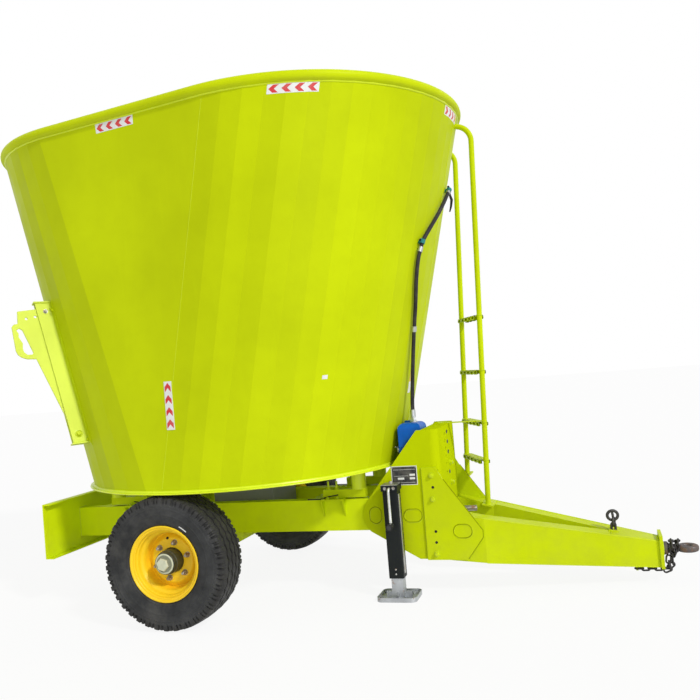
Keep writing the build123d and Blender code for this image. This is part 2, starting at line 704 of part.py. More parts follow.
# Load cells: bars on the rails, each with a bracket and a foot of the tub
CELL_L = 276
CELL_W = 50
CELL_H = 50
CELL_PAD_T = 9
CELL_Y = 250
FOOT_R = 46
CELL_IN = (454, 361)  # clamped ends, in from the tub's bottom edge: front, rear
CELL_ENDS = (  # clamped end of the bar from the axle, its direction
    (TUB_NOSE - CELL_IN[0], 1),
    (TUB_BOTTOM_C - TUB_BOTTOM_R + CELL_IN[1], -1),
)
FOOT_INSET = 45
FLOOR_T = 8
FLOOR_LIP = 22

with BuildPart() as load_cells:
    for clamp, way in CELL_ENDS:
        for _, side in SIDES:
            with Locations((at(clamp + way * CELL_L / 2), side * CELL_Y, RAIL_TOP_Z + CELL_PAD_T)):
                Box(CELL_L, CELL_W, CELL_H, align=(Align.CENTER, Align.CENTER, Align.MIN))
load_cells.part.label = "load_cells"
export_step(load_cells.part, "parts/load_cells.step")

BRACKET_L = 145
BRACKET_OUT = 48
BRACKET_DROP = 104
BRACKET_T = 8

with BuildPart() as load_cell_brackets:
    for clamp, way in CELL_ENDS:
        for _, side in SIDES:
            middle = at(clamp + way * BRACKET_L / 2)
            with Locations((middle, side * (CELL_Y + RAIL_Y + BRACKET_OUT) / 2 - side * CELL_W / 4, RAIL_TOP_Z)):
                Box(
                    BRACKET_L,
                    RAIL_Y + BRACKET_OUT - CELL_Y + CELL_W / 2,
                    CELL_PAD_T,
                    align=(Align.CENTER, Align.CENTER, Align.MIN),
                )
            for end in (-1, 1):
                rib_x = middle + end * (BRACKET_L - BRACKET_T) / 2 - BRACKET_T / 2
                with BuildSketch(Plane.YZ.offset(rib_x)):
                    Polygon(
                        (side * RAIL_Y, RAIL_TOP_Z),
                        (side * (RAIL_Y + BRACKET_OUT), RAIL_TOP_Z),
                        (side * RAIL_Y, RAIL_TOP_Z - BRACKET_DROP),
                        align=None,
                    )
                extrude(amount=BRACKET_T)
load_cell_brackets.part.label = "load_cell_brackets"
export_step(load_cell_brackets.part, "parts/load_cell_brackets.step")

# Tub floor with its lip and feet
GEARBOX_BOSS_R = 60
with BuildPart() as tub_floor:
    with BuildSketch(Plane.XY.offset(TUB_BOTTOM_Z - FLOOR_T)):
        with Locations((at(TUB_BOTTOM_C), 0)):
            Circle(TUB_BOTTOM_R + FLOOR_LIP)
            Circle(GEARBOX_BOSS_R + 12, mode=Mode.SUBTRACT)
    extrude(amount=FLOOR_T)
    foot_z = RAIL_TOP_Z + CELL_PAD_T + CELL_H
    with BuildSketch(Plane.XY.offset(foot_z)):
        for clamp, way in CELL_ENDS:
            for _, side in SIDES:
                with Locations((at(clamp + way * (CELL_L - FOOT_INSET)), side * CELL_Y)):
                    Circle(FOOT_R)
    extrude(amount=TUB_BOTTOM_Z - FLOOR_T - foot_z)
tub_floor.part.label = "tub_floor"
export_step(tub_floor.part, "parts/tub_floor.step")

# Discharge door: its plane touches the wall along one generator, leaning with it
DOOR_ANGLE = 45
DOOR_HALF_W = 240  # half the opening
DOOR_SILL = 70  # sill above the tub's bottom, along the wall
DOOR_H = 560
DOOR_FRAME_W = 36
DOOR_FRAME_OUT = 6
DOOR_CLEAR = 6
DOOR_T = 8
DOOR_LAP = 20
DOOR_TRAVEL = 540
GUIDE_DEPTH = DOOR_T + 2 * DOOR_CLEAR
GUIDE_T = 8
DOOR_RIB = 26

door_low = wall_point(DOOR_ANGLE, TUB_BOTTOM_Z)
door_high = wall_point(DOOR_ANGLE, TUB_TOP_Z)
door_across = Vector(-sin(radians(DOOR_ANGLE)), cos(radians(DOOR_ANGLE)), 0)
door_out = door_across.cross(door_high - door_low).normalized()
DOOR_UP = door_out.cross(door_across)


def door_plane(out):
    """Plane of the door, moved outwards. Local x runs across it and local y up the wall."""
    return Plane(origin=door_low + door_out * out, x_dir=door_across, z_dir=door_out)


# Counter-knives: each swings in a leaning plane that holds a generator of the rear wall
KNIFE_ANGLE = 129.4
KNIFE_T = 12
KNIFE_SLOT = 22
CHEEK_T = 8
CHEEK_DEPTH = 90
CHEEK_Z = (1067, 1942)
SLOT_LOW = 115  # slot's lower end, along the wall from the cheeks' lower end
SLOT_HIGH = 16  # slot's upper end, below the cheeks' upper end
PIVOT_OUT = 46  # pivot's place out of the wall line
PIVOT_UP = 54


def knife_plane(side):
    """Plane of a counter-knife. Local x runs outwards and local y up along the wall."""
    low = wall_point(KNIFE_ANGLE * side, CHEEK_Z[0])
    high = wall_point(KNIFE_ANGLE * side, CHEEK_Z[1])
    out = Vector(cos(radians(KNIFE_ANGLE)), side * sin(radians(KNIFE_ANGLE)), 0)
    normal = out.cross(high - low).normalized()
    return Plane(origin=low, x_dir=out, z_dir=normal)


knife_top = knife_plane(1).to_local_coords(wall_point(KNIFE_ANGLE, CHEEK_Z[1]))
KNIFE_RISE = knife_top.Y
WALL_SLOPE = knife_top.X / knife_top.Y


def off_wall(out, up):
    """Point in the knife plane, a distance out of the wall line at a place along it."""
    return (out + WALL_SLOPE * up, up)


# Tub skin: two faceted lofts, one inside the other
with BuildPart() as tub_shell:
    with BuildSketch(Plane.XY.offset(TUB_BOTTOM_Z)):
        Polygon(*tub_polygon(TUB_BOTTOM_Z), align=None)
    with BuildSketch(Plane.XY.offset(TUB_TOP_Z)):
        Polygon(*tub_polygon(TUB_TOP_Z), align=None)
    loft(ruled=True)
    outer_skin = tub_shell.part
    with BuildSketch(Plane.XY.offset(TUB_BOTTOM_Z)):
        Polygon(*tub_polygon(TUB_BOTTOM_Z, TUB_WALL), align=None)
    with BuildSketch(Plane.XY.offset(TUB_TOP_Z)):
        Polygon(*tub_polygon(TUB_TOP_Z, TUB_WALL), align=None)
    loft(ruled=True, mode=Mode.SUBTRACT)
    with BuildSketch(door_plane(40)):
        with Locations((0, DOOR_SILL + DOOR_H / 2)):
            Rectangle(2 * DOOR_HALF_W, DOOR_H)
    extrude(amount=-160, mode=Mode.SUBTRACT)
    for _, side in SIDES:
        with BuildSketch(knife_plane(side)):
            slot_top = KNIFE_RISE - SLOT_HIGH
            reach = CHEEK_DEPTH - 20
            Polygon(
                off_wall(-reach, SLOT_LOW),
                off_wall(reach, SLOT_LOW),
                off_wall(reach, slot_top),
                off_wall(-reach, slot_top),
                align=None,
            )
        extrude(amount=KNIFE_SLOT / 2, both=True, mode=Mode.SUBTRACT)
tub_shell.part.label = "tub_shell"
export_step(tub_shell.part, "parts/tub_shell.step")

# Rolled tube round the top edge
with BuildPart() as tub_rim:
    front_c, front_r, rear_c, rear_r = tub_arcs(TUB_TOP_Z)
    rim_z = TUB_TOP_Z + RIM_TUBE_R
    front_mid = front_r - TUB_WALL / 2
    rear_mid = rear_r - TUB_WALL / 2
    for centre, radius, first, arc in (
        (front_c, front_mid, -FLAT_ANGLE, 2 * FLAT_ANGLE),
        (rear_c, rear_mid, FLAT_ANGLE, 360 - 2 * FLAT_ANGLE),
    ):
        turn = radians(first)
        across = (cos(turn), sin(turn), 0)
        with BuildSketch(Plane(origin=(centre, 0, rim_z), x_dir=across, z_dir=(sin(turn), -cos(turn), 0))):
            with Locations((radius, 0)):
                Circle(RIM_TUBE_R)
        revolve(axis=Axis((centre, 0, 0), (0, 0, 1)), revolution_arc=arc)
    turn = radians(FLAT_ANGLE)
    for _, side in SIDES:
        start = Vector(front_c + front_mid * cos(turn), side * front_mid * sin(turn), rim_z)
        finish = Vector(rear_c + rear_mid * cos(turn), side * rear_mid * sin(turn), rim_z)
        with BuildSketch(Plane(origin=start, z_dir=finish - start)):
            Circle(RIM_TUBE_R)
        extrude(amount=(finish - start).length)
tub_rim.part.label = "tub_rim"
export_step(tub_rim.part, "parts/tub_rim.step")

# Door frame: bridges from the faceted wall to the flat door, with guides and sill
GUIDE_TOP = DOOR_SILL + DOOR_H + DOOR_TRAVEL + 60
CHUTE_REACH = 120
CHUTE_DROP = 110
CHUTE_T = 6

with BuildPart() as door_frame:
    with BuildSketch(door_plane(DOOR_FRAME_OUT)):
        with Locations((0, DOOR_SILL + DOOR_H / 2)):
            Rectangle(2 * (DOOR_HALF_W + DOOR_FRAME_W), DOOR_H + 2 * DOOR_FRAME_W)
            Rectangle(2 * DOOR_HALF_W, DOOR_H, mode=Mode.SUBTRACT)
    extrude(amount=-70)
    for way in (-1, 1):
        with BuildSketch(door_plane(DOOR_FRAME_OUT)):
            guide_in = DOOR_HALF_W + DOOR_LAP + DOOR_CLEAR
            with Locations((way * (guide_in + GUIDE_T / 2), (DOOR_SILL - DOOR_FRAME_W + GUIDE_TOP) / 2)):
                Rectangle(GUIDE_T, GUIDE_TOP - DOOR_SILL + DOOR_FRAME_W)
        extrude(amount=GUIDE_DEPTH)
        with BuildSketch(door_plane(DOOR_FRAME_OUT + GUIDE_DEPTH)):
            lip_w = GUIDE_T + DOOR_CLEAR + 14
            place = guide_in + GUIDE_T - lip_w / 2
            with Locations((way * place, (DOOR_SILL - DOOR_FRAME_W + GUIDE_TOP) / 2)):
                Rectangle(lip_w, GUIDE_TOP - DOOR_SILL + DOOR_FRAME_W)
        extrude(amount=6)
        with BuildSketch(door_plane(DOOR_FRAME_OUT)):
            above = DOOR_SILL + DOOR_H + DOOR_FRAME_W
            with Locations((way * (guide_in + GUIDE_T / 2), (above + GUIDE_TOP) / 2)):
                Rectangle(GUIDE_T, GUIDE_TOP - above)
        extrude(amount=-70)
    add(outer_skin, mode=Mode.SUBTRACT)
    with BuildSketch(Plane(origin=door_low, x_dir=door_out, z_dir=door_across * -1)):
        chute_low = DOOR_SILL - DOOR_FRAME_W
        Polygon(
            (DOOR_FRAME_OUT, chute_low),
            (DOOR_FRAME_OUT + CHUTE_REACH, chute_low - CHUTE_DROP),
            (DOOR_FRAME_OUT + CHUTE_REACH, chute_low - CHUTE_DROP - CHUTE_T),
            (DOOR_FRAME_OUT - CHUTE_T, chute_low - CHUTE_T),
            (DOOR_FRAME_OUT - CHUTE_T, chute_low),
            align=None,
        )
    extrude(amount=DOOR_HALF_W, both=True)
door_frame.part.label = "door_frame"
export_step(door_frame.part, "parts/door_frame.step")

with BuildPart() as discharge_door:
    with BuildSketch(door_plane(DOOR_FRAME_OUT + DOOR_CLEAR)):
        with Locations((0, DOOR_SILL + DOOR_H / 2)):
            Rectangle(2 * (DOOR_HALF_W + DOOR_LAP), DOOR_H + 2 * DOOR_LAP)
    extrude(amount=DOOR_T)
    with BuildSketch(door_plane(DOOR_FRAME_OUT + DOOR_CLEAR + DOOR_T)):
        with Locations((0, DOOR_SILL + 120), (0, DOOR_SILL + DOOR_H - 120)):
            Rectangle(2 * DOOR_HALF_W - 60, 40)
    extrude(amount=DOOR_RIB)
    with BuildSketch(door_plane(DOOR_FRAME_OUT + DOOR_CLEAR + DOOR_T)):
        with Locations((0, DOOR_SILL + DOOR_H + DOOR_LAP - 35)):
            Rectangle(90, 70)
    extrude(amount=50)
discharge_door.part.label = "discharge_door"
export_step(discharge_door.part, "parts/discharge_door.step")

# Door cylinder: rod fixed to the door, barrel held on the wall above the guides
ROD_OUT = DOOR_FRAME_OUT + DOOR_CLEAR + DOOR_T + 26
ROD_R = 15
ROD_FOOT = DOOR_SILL + DOOR_H + DOOR_LAP
BARREL_LOW = ROD_FOOT + DOOR_TRAVEL + 30
BARREL_L = 600
BARREL_R = 32
BARREL_BORE_R = 20
BARREL_END_T = 20
GLAND_L = 24

with BuildPart() as door_cylinder_rod:
    with BuildSketch(Plane(origin=door_low + door_out * ROD_OUT + DOOR_UP * ROD_FOOT, z_dir=DOOR_UP)):
        Circle(ROD_R)
    extrude(amount=BARREL_LOW - ROD_FOOT + 40)
door_cylinder_rod.part.label = "door_cylinder_rod"
export_step(door_cylinder_rod.part, "parts/door_cylinder_rod.step")

with BuildPart() as door_cylinder:
    barrel_start = door_low + door_out * ROD_OUT + DOOR_UP * BARREL_LOW
    with BuildSketch(Plane(origin=barrel_start, z_dir=DOOR_UP)):
        Circle(BARREL_R)
    extrude(amount=BARREL_L)
    with BuildSketch(Plane(origin=barrel_start, z_dir=DOOR_UP)):
        Circle(ROD_R + GAP)
    extrude(amount=GLAND_L, mode=Mode.SUBTRACT)
    with BuildSketch(Plane(origin=barrel_start + DOOR_UP * GLAND_L, z_dir=DOOR_UP)):
        Circle(BARREL_BORE_R)
    extrude(amount=BARREL_L - GLAND_L - BARREL_END_T, mode=Mode.SUBTRACT)
    for place in (BARREL_LOW + 20, BARREL_LOW + BARREL_L - 60):
        with BuildSketch(door_plane(ROD_OUT - BARREL_BORE_R - 6)):
            with Locations((0, place + 20)):
                Rectangle(70, 40)
        extrude(amount=-60)
    add(outer_skin, mode=Mode.SUBTRACT)
door_cylinder.part.label = "door_cylinder"
export_step(door_cylinder.part, "parts/door_cylinder.step")

# Counter-knife brackets and blades
PIVOT_R = 10
PIVOT_GAP = 0.5
CAP_T = 8
CAP_SIDE = 8
BLADE_END_R = 27
BLADE_EDGE = (  # outline of the parked blade from its pivot: out, up
    (-26, 6),
    (26, 6),
    (42, 63),
    (184, 490),
    (237, 493),
    (267, 505),
    (287, 524),
    (296, 548),
    (301, 640),
    (304, 700),
    (292, 714),
    (268, 718),
    (262, 797),
    (150, 809),
    (75, 811),
    (-23, 80),
)
HANDLE_HOLE = (  # opening for the hand, from the pivot: out, up
    (205, 519),
    (233, 519),
    (251, 536),
    (256, 560),
    (252, 592),
    (262, 612),
    (272, 634),
    (269, 654),
    (281, 678),
    (262, 690),
    (245, 677),
    (197, 530),
)
LOCK_HOLES = ((105, 784), (161, 760), (215, 749))
LOCK_HOLE_R = 9

for side_name, side in SIDES:
    swing = knife_plane(side)
    with BuildPart() as knife_bracket:
        for face in (-1, 1):
            with BuildSketch(swing.offset(face * KNIFE_SLOT / 2)):
                Polygon(
                    off_wall(-20, 0),
                    off_wall(CHEEK_DEPTH, 0),
                    off_wall(CHEEK_DEPTH, KNIFE_RISE),
                    off_wall(-20, KNIFE_RISE),
                    align=None,
                )
            extrude(amount=face * CHEEK_T)
        for up in (0, KNIFE_RISE):
            corner = off_wall(0, up)
            cap_plane = Plane(
                origin=swing.from_local_coords(Vector(corner[0], corner[1], 0)),
                x_dir=swing.x_dir,
                z_dir=swing.y_dir,
            )
            with BuildSketch(cap_plane):
                with Locations(((CHEEK_DEPTH + CAP_SIDE - 20) / 2, 0)):
                    Rectangle(CHEEK_DEPTH + CAP_SIDE + 20, KNIFE_SLOT + 2 * CHEEK_T + 2 * CAP_SIDE)
            extrude(amount=CAP_T if up else -CAP_T)
        add(outer_skin, mode=Mode.SUBTRACT)
        with BuildSketch(swing):
            with Locations(off_wall(PIVOT_OUT, PIVOT_UP)):
                Circle(PIVOT_R)
        extrude(amount=KNIFE_SLOT / 2 + CHEEK_T, both=True)
    knife_bracket.part.label = f"counter_knife_bracket_{side_name}"
    export_step(knife_bracket.part, f"parts/counter_knife_bracket_{side_name}.step")

    pivot = off_wall(PIVOT_OUT, PIVOT_UP)
    blade_plane = Plane(
        origin=swing.from_local_coords(Vector(pivot[0], pivot[1], 0)), x_dir=swing.x_dir, z_dir=swing.z_dir
    )
    with BuildPart() as counter_knife:
        with BuildSketch(blade_plane):
            Polygon(*BLADE_EDGE, align=None)
            Circle(BLADE_END_R)
            Circle(PIVOT_R + PIVOT_GAP, mode=Mode.SUBTRACT)
            Polygon(*HANDLE_HOLE, align=None, mode=Mode.SUBTRACT)
            with Locations(*LOCK_HOLES):
                Circle(LOCK_HOLE_R, mode=Mode.SUBTRACT)
        extrude(amount=KNIFE_T / 2, both=True)
    counter_knife.part.label = f"counter_knife_{side_name}"
    export_step(counter_knife.part, f"parts/counter_knife_{side_name}.step")

# Gearbox under the floor, with the boss that carries the auger
GEARBOX_L = 420
GEARBOX_Z = 395
BOSS_TOP_Z = 900
SHAFT_Z = 450

with BuildPart() as gearbox:
    with Locations((at(TUB_BOTTOM_C), 0, GEARBOX_Z)):
        Box(
            GEARBOX_L,
            GEARBOX_L - 20,
            TUB_BOTTOM_Z - FLOOR_T - GEARBOX_Z,
            align=(Align.CENTER, Align.CENTER, Align.MIN),
        )
    with BuildSketch(Plane.XY.offset(TUB_BOTTOM_Z - FLOOR_T)):
        with Locations((at(TUB_BOTTOM_C), 0)):
            Circle(GEARBOX_BOSS_R)
    extrude(amount=BOSS_TOP_Z - TUB_BOTTOM_Z + FLOOR_T)
gearbox.part.label = "gearbox"
export_step(gearbox.part, "parts/gearbox.step")

# Input shaft with its bearing plate and guard
SHAFT_R = 30
STUB_R = 17.5
STUB_L = 110
SHAFT_END = POST_FRONT + 45
BEARING_T = 14
BEARING_X = POST_FRONT - 60
BEARING_R = 55

with BuildPart() as pto_shaft:
    with BuildSketch(Plane.YZ.offset(at(TUB_BOTTOM_C + GEARBOX_L / 2) + GAP)):
        with Locations((0, SHAFT_Z)):
            Circle(SHAFT_R)
    extrude(amount=SHAFT_END - TUB_BOTTOM_C - GEARBOX_L / 2 - GAP)
    with BuildSketch(Plane.YZ.offset(at(SHAFT_END))):
        with Locations((0, SHAFT_Z)):
            Circle(STUB_R)
    extrude(amount=STUB_L)
pto_shaft.part.label = "pto_shaft"
export_step(pto_shaft.part, "parts/pto_shaft.step")

with BuildPart() as pto_bearing:
    with Locations((at(BEARING_X), 0, SHAFT_Z)):
        Box(BEARING_T, 2 * (POST_Y - POST_T), 84)
    with BuildSketch(Plane.YZ.offset(at(BEARING_X) - BEARING_T)):
        with Locations((0, SHAFT_Z)):
            Circle(BEARING_R)
    extrude(amount=2 * BEARING_T)
    with BuildSketch(Plane.YZ.offset(at(BEARING_X) - BEARING_T)):
        with Locations((0, SHAFT_Z)):
            Circle(SHAFT_R + SPINDLE_GAP)
    extrude(amount=2 * BEARING_T, mode=Mode.SUBTRACT)
pto_bearing.part.label = "pto_bearing"
export_step(pto_bearing.part, "parts/pto_bearing.step")

# Auger: round core and a ruled flight whose edge runs on a cone
CORE_R = 190
CORE_LOW_Z = TUB_BOTTOM_Z + 8
CORE_TOP_Z = 2200
CORE_TIP_Z = 2330
FLIGHT_LOW_Z = 790
FLIGHT_HIGH_Z = 2120
FLIGHT_LOW_R = 930
FLIGHT_HIGH_R = 350
FLIGHT_TURNS = 2.25
FLIGHT_STEPS = 45
FLIGHT_T = 15
KNIFE_COUNT = 7
KNIFE_FIRST = 0.1  # share of the flight's run
KNIFE_STEP = 0.12
AUGER_X = at(TUB_BOTTOM_C)

with BuildPart() as auger_core:
    with BuildSketch(Plane.XZ):
        with BuildLine():
            Polyline(
                (AUGER_X, CORE_TIP_Z),
                (AUGER_X + 60, CORE_TIP_Z),
                (AUGER_X + CORE_R, CORE_TOP_Z),
                (AUGER_X + CORE_R, CORE_LOW_Z),
                (AUGER_X + GEARBOX_BOSS_R + SPINDLE_GAP, CORE_LOW_Z),
                (AUGER_X + GEARBOX_BOSS_R + SPINDLE_GAP, BOSS_TOP_Z + GAP),
                (AUGER_X, BOSS_TOP_Z + GAP),
                close=True,
            )
        make_face()
    revolve(axis=Axis((AUGER_X, 0, 0), (0, 0, 1)))
auger_core.part.label = "auger_core"
export_step(auger_core.part, "parts/auger_core.step")


def flight_at(share):
    """Angle, edge radius and height of the flight's underside at a share of its run."""
    turn = radians(360 * FLIGHT_TURNS * share)
    edge = FLIGHT_LOW_R + share * (FLIGHT_HIGH_R - FLIGHT_LOW_R)
    height = FLIGHT_LOW_Z + share * (FLIGHT_HIGH_Z - FLIGHT_LOW_Z)
    return turn, edge, height


with BuildPart() as auger_flight:
    half_step = radians(180 * FLIGHT_TURNS / FLIGHT_STEPS)
    root = (CORE_R + GAP) / cos(half_step)
    for step in range(FLIGHT_STEPS + 1):
        turn, edge, height = flight_at(step / FLIGHT_STEPS)
        radial = Plane(
            origin=(AUGER_X, 0, height), x_dir=(cos(turn), sin(turn), 0), z_dir=(sin(turn), -cos(turn), 0)
        )
        with BuildSketch(radial):
            with Locations(((root + edge) / 2, FLIGHT_T / 2)):
                Rectangle(edge - root, FLIGHT_T)
    loft(ruled=True)
auger_flight.part.label = "auger_flight"
export_step(auger_flight.part, "parts/auger_flight.step")

with BuildPart() as auger_knives:
    for number in range(KNIFE_COUNT):
        turn, edge, height = flight_at(KNIFE_FIRST + KNIFE_STEP * number)
        rise = (FLIGHT_HIGH_Z - FLIGHT_LOW_Z) / (2 * pi * FLIGHT_TURNS)
        radial = Vector(cos(turn), sin(turn), 0)
        along = Vector(-sin(turn) * edge, cos(turn) * edge, rise).normalized()
        seat = Vector(AUGER_X, 0, height + FLIGHT_T) + radial * (edge - 30)
        with BuildSketch(Plane(origin=seat, x_dir=radial, z_dir=radial.cross(along))):
            Polygon((-60, -70), (-60, 110), (30, 120), (95, 60), (60, -80), align=None)
        extrude(amount=9)
    add(auger_flight.part, mode=Mode.SUBTRACT)
auger_knives.part.label = "auger_knives"
export_step(auger_knives.part, "parts/auger_knives.step")

# Oil tank, its hose up the tub and the clips that hold the hose
with BuildPart() as oil_tank:
    with Locations((at(sum(TANK_X) / 2), sum(TANK_Y) / 2, sum(TANK_Z) / 2)):
        Box(TANK_X[1] - TANK_X[0], TANK_Y[1] - TANK_Y[0], TANK_Z[1] - TANK_Z[0])
    fillet(oil_tank.edges().group_by(Axis.Z)[-1], TANK_ROUND)
oil_tank.part.label = "oil_tank"
export_step(oil_tank.part, "parts/oil_tank.step")

HOSE_R = 12
HOSE_START = (TANK_X[1] - 57, sum(TANK_Y) / 2)  # X from the axle and Y of the fitting
HOSE_RISE = 70  # straight run out of the fitting
HOSE_TOP_DROP = 465  # hose's upper end, below the tub's top edge
HOSE_RUN = (  # share of the height, angle round the front arc, middle of the hose off the wall
    (0.138, -8.96, 47),
    (0.247, -10.01, 33),
    (0.367, -11.53, 23),
    (0.488, -13.48, 23),
    (0.594, -15.45, 20),
    (0.678, -16.35, 22),
    (0.746, -15.03, 20),
    (0.806, -11.35, 23),
    (0.873, -5.77, 23),
    (0.943, 0, 23),
    (1, 4.69, 24),
)
BEND_SHARE = 0.45  # of the shorter run, used up by a bend
FITTING_R = 17
FITTING_L = 30
CLIP_T = 8
CLIP_W = 40
CLIP_ROOT = 20
CLIP_POINTS = (8, 12)  # points of the route that a clip holds


def route_bends(points):
    """Largest radius at each corner of a route, from its shorter run and its turn."""
    radii = []
    for before, corner, after in zip(points, points[1:], points[2:]):
        turn = radians((corner - before).get_angle(after - corner))
        shorter = min((corner - before).length, (after - corner).length)
        radii.append(BEND_SHARE * shorter / tan(turn / 2))
    return radii


hose_low = TANK_Z[1] + FITTING_L
hose_rise = TUB_TOP_Z - HOSE_TOP_DROP - hose_low
hose_points = [Vector(at(HOSE_START[0]), HOSE_START[1], hose_low)]
hose_points.append(hose_points[0] + Vector(0, -1, HOSE_RISE))
for share, angle, out in HOSE_RUN:
    hose_points.append(wall_point(angle, hose_low + share * hose_rise, out))
with BuildPart() as oil_hose:
    with BuildLine() as hose_line:
        FilletPolyline(*hose_points, radius=route_bends(hose_points))
    with BuildSketch(Plane(origin=hose_line.line @ 0, z_dir=hose_line.line % 0)):
        Circle(HOSE_R)
    sweep(path=hose_line.line)
oil_hose.part.label = "oil_hose"
export_step(oil_hose.part, "parts/oil_hose.step")

with BuildPart() as hose_clips:
    with BuildSketch(Plane.XY.offset(TANK_Z[1])):
        with Locations((hose_points[0].X, hose_points[0].Y)):
            RegularPolygon(FITTING_R, 6)
    extrude(amount=FITTING_L)
    for number in CLIP_POINTS:
        share, angle, out = HOSE_RUN[number - 2]
        outward = Vector(cos(radians(angle)), sin(radians(angle)), 0)
        reach = out + HOSE_R + CLIP_T + CLIP_ROOT
        with BuildSketch(Plane(origin=hose_points[number], x_dir=outward, z_dir=(0, 0, 1))):
            with Locations((HOSE_R + CLIP_T - reach / 2, 0)):
                Rectangle(reach, 2 * (HOSE_R + CLIP_T))
        extrude(amount=CLIP_W / 2, both=True)
    add(outer_skin, mode=Mode.SUBTRACT)
    add(oil_hose.part, mode=Mode.SUBTRACT)
hose_clips.part.label = "hose_clips"
export_step(hose_clips.part, "parts/hose_clips.step")

# Ladder at the front left of the tub: two bent rails, treads and the fixings
LADDER_R = 17
LADDER_BEND = 105
LADDER_RAILS = (  # Y, foot's X from the axle, foot's Z, head's X, head's Z
    (100, POST_FRONT + 212, 449, TUB_PROW + 78, TUB_TOP_Z - 68),
    (480, POST_FRONT + 36, 602, TUB_PROW - 90, TUB_TOP_Z - 106),
)
LADDER_REACH_IN = 170  # how far the head runs in; the tub cuts it off
TREAD_Z = (720, 960, 1290, 1640)
TREAD_W = 60
TREAD_H = 28
TREAD_T = 4
BRACE_T = 6
BRACE_W = 40
BRACE_ROOT = POST_FRONT - 65
PAD_T = 10
PAD_HALF = 34


def rail_point(row, z):
    """Middle of a ladder rail at height z."""
    y, foot_x, foot_z, head_x, head_z = row
    share = (z - foot_z) / (head_z - foot_z)
    return Vector(at(foot_x + share * (head_x - foot_x)), y, z)


near_rail, far_rail = LADDER_RAILS
with BuildPart() as ladder_pads:
    with BuildSketch(Plane.XZ.offset(-POST_Y + PAD_HALF)):
        Polygon(*sloped_pad(near_rail[1] - PAD_HALF, near_rail[1] + PAD_HALF, PAD_T), align=None)
    extrude(amount=POST_Y - PAD_HALF - near_rail[0] + PAD_HALF)
    with Locations((at(far_rail[1]), POST_Y + GUSSET_T, far_rail[2] - PAD_T / 2)):
        Box(
            2 * PAD_HALF,
            far_rail[0] + PAD_HALF - POST_Y - GUSSET_T,
            PAD_T,
            align=(Align.CENTER, Align.MIN, Align.MIN),
        )

with BuildPart() as ladder_rails:
    for y, foot_x, foot_z, head_x, head_z in LADDER_RAILS:
        with BuildLine(mode=Mode.PRIVATE) as stringer_line:
            FilletPolyline(
                (at(foot_x), y, foot_z),
                (at(head_x), y, head_z),
                (at(head_x - LADDER_REACH_IN), y, head_z + 12),
                radius=LADDER_BEND,
            )
        with BuildSketch(Plane(origin=stringer_line.line @ 0, z_dir=stringer_line.line % 0)):
            Circle(LADDER_R)
        sweep(path=stringer_line.line)
    add(outer_skin, mode=Mode.SUBTRACT)
    add(ladder_pads.part, mode=Mode.SUBTRACT)
ladder_rails.part.label = "ladder_rails"
export_step(ladder_rails.part, "parts/ladder_rails.step")

with BuildPart() as ladder_treads:
    for z in TREAD_Z:
        near_end = rail_point(near_rail, z)
        far_end = rail_point(far_rail, z)
        run = far_end - near_end
        with BuildSketch(Plane(origin=near_end, x_dir=run.cross(Vector(0, 0, 1)), z_dir=run)):
            Rectangle(TREAD_W, TREAD_H)
            with Locations((0, -TREAD_T)):
                Rectangle(TREAD_W - 2 * TREAD_T, TREAD_H, mode=Mode.SUBTRACT)
        extrude(amount=run.length)
    add(ladder_rails.part, mode=Mode.SUBTRACT)
ladder_treads.part.label = "ladder_treads"
export_step(ladder_treads.part, "parts/ladder_treads.step")

with BuildPart() as ladder_brackets:
    add(ladder_pads.part)
    brace_end = rail_point(near_rail, POST_TOP_Z)
    with Locations((at(BRACE_ROOT), near_rail[0], POST_TOP_Z)):
        Box(
            brace_end.X - at(BRACE_ROOT),
            BRACE_W,
            BRACE_T,
            align=(Align.MIN, Align.CENTER, Align.MIN),
        )
    add(ladder_rails.part, mode=Mode.SUBTRACT)
ladder_brackets.part.label = "ladder_brackets"
export_step(ladder_brackets.part, "parts/ladder_brackets.step")
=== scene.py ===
import math
from math import asin, cos, degrees, pi, radians, sin

import bmesh
import bpy
from mathutils import Matrix, Vector


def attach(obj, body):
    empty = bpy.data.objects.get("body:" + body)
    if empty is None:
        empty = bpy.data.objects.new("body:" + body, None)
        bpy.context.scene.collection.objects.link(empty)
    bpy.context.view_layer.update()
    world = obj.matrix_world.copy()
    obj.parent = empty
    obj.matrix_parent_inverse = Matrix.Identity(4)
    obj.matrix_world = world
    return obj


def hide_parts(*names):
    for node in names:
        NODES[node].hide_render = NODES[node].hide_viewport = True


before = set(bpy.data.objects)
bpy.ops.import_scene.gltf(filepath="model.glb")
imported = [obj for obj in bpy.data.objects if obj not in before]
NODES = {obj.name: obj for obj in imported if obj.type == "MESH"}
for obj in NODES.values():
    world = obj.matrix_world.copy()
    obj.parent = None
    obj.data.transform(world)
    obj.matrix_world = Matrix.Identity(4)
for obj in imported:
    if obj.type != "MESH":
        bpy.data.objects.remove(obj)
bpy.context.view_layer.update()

# Chassis: two folded rails, cross tubes, a square axle beam and a wide bumper at the rear.
# All of it is welded steel plate, sprayed in the wagon's yellow green made brighter as painted
# light, with dust low down, painted shade on faces that point down, and chips in the paint. Beads
# run round the end plates of the bumper.
AXLE_X = -0.6995
GREEN = (0.595, 0.715, 0.0030)
# Colour of dust low down, also used for the painted shade on faces that point down.
FIELD_DUST_AND_SHADE = (0.36, 0.33, 0.10)
CHIPPED_STEEL = (0.16, 0.13, 0.10)
BUMPER_BEAD = 0.005


def at(x):
    """Place along the wagon, counted forwards from the axle."""
    return AXLE_X + x


def shade(colour, factor):
    return tuple(min(1.0, part * factor) for part in colour)


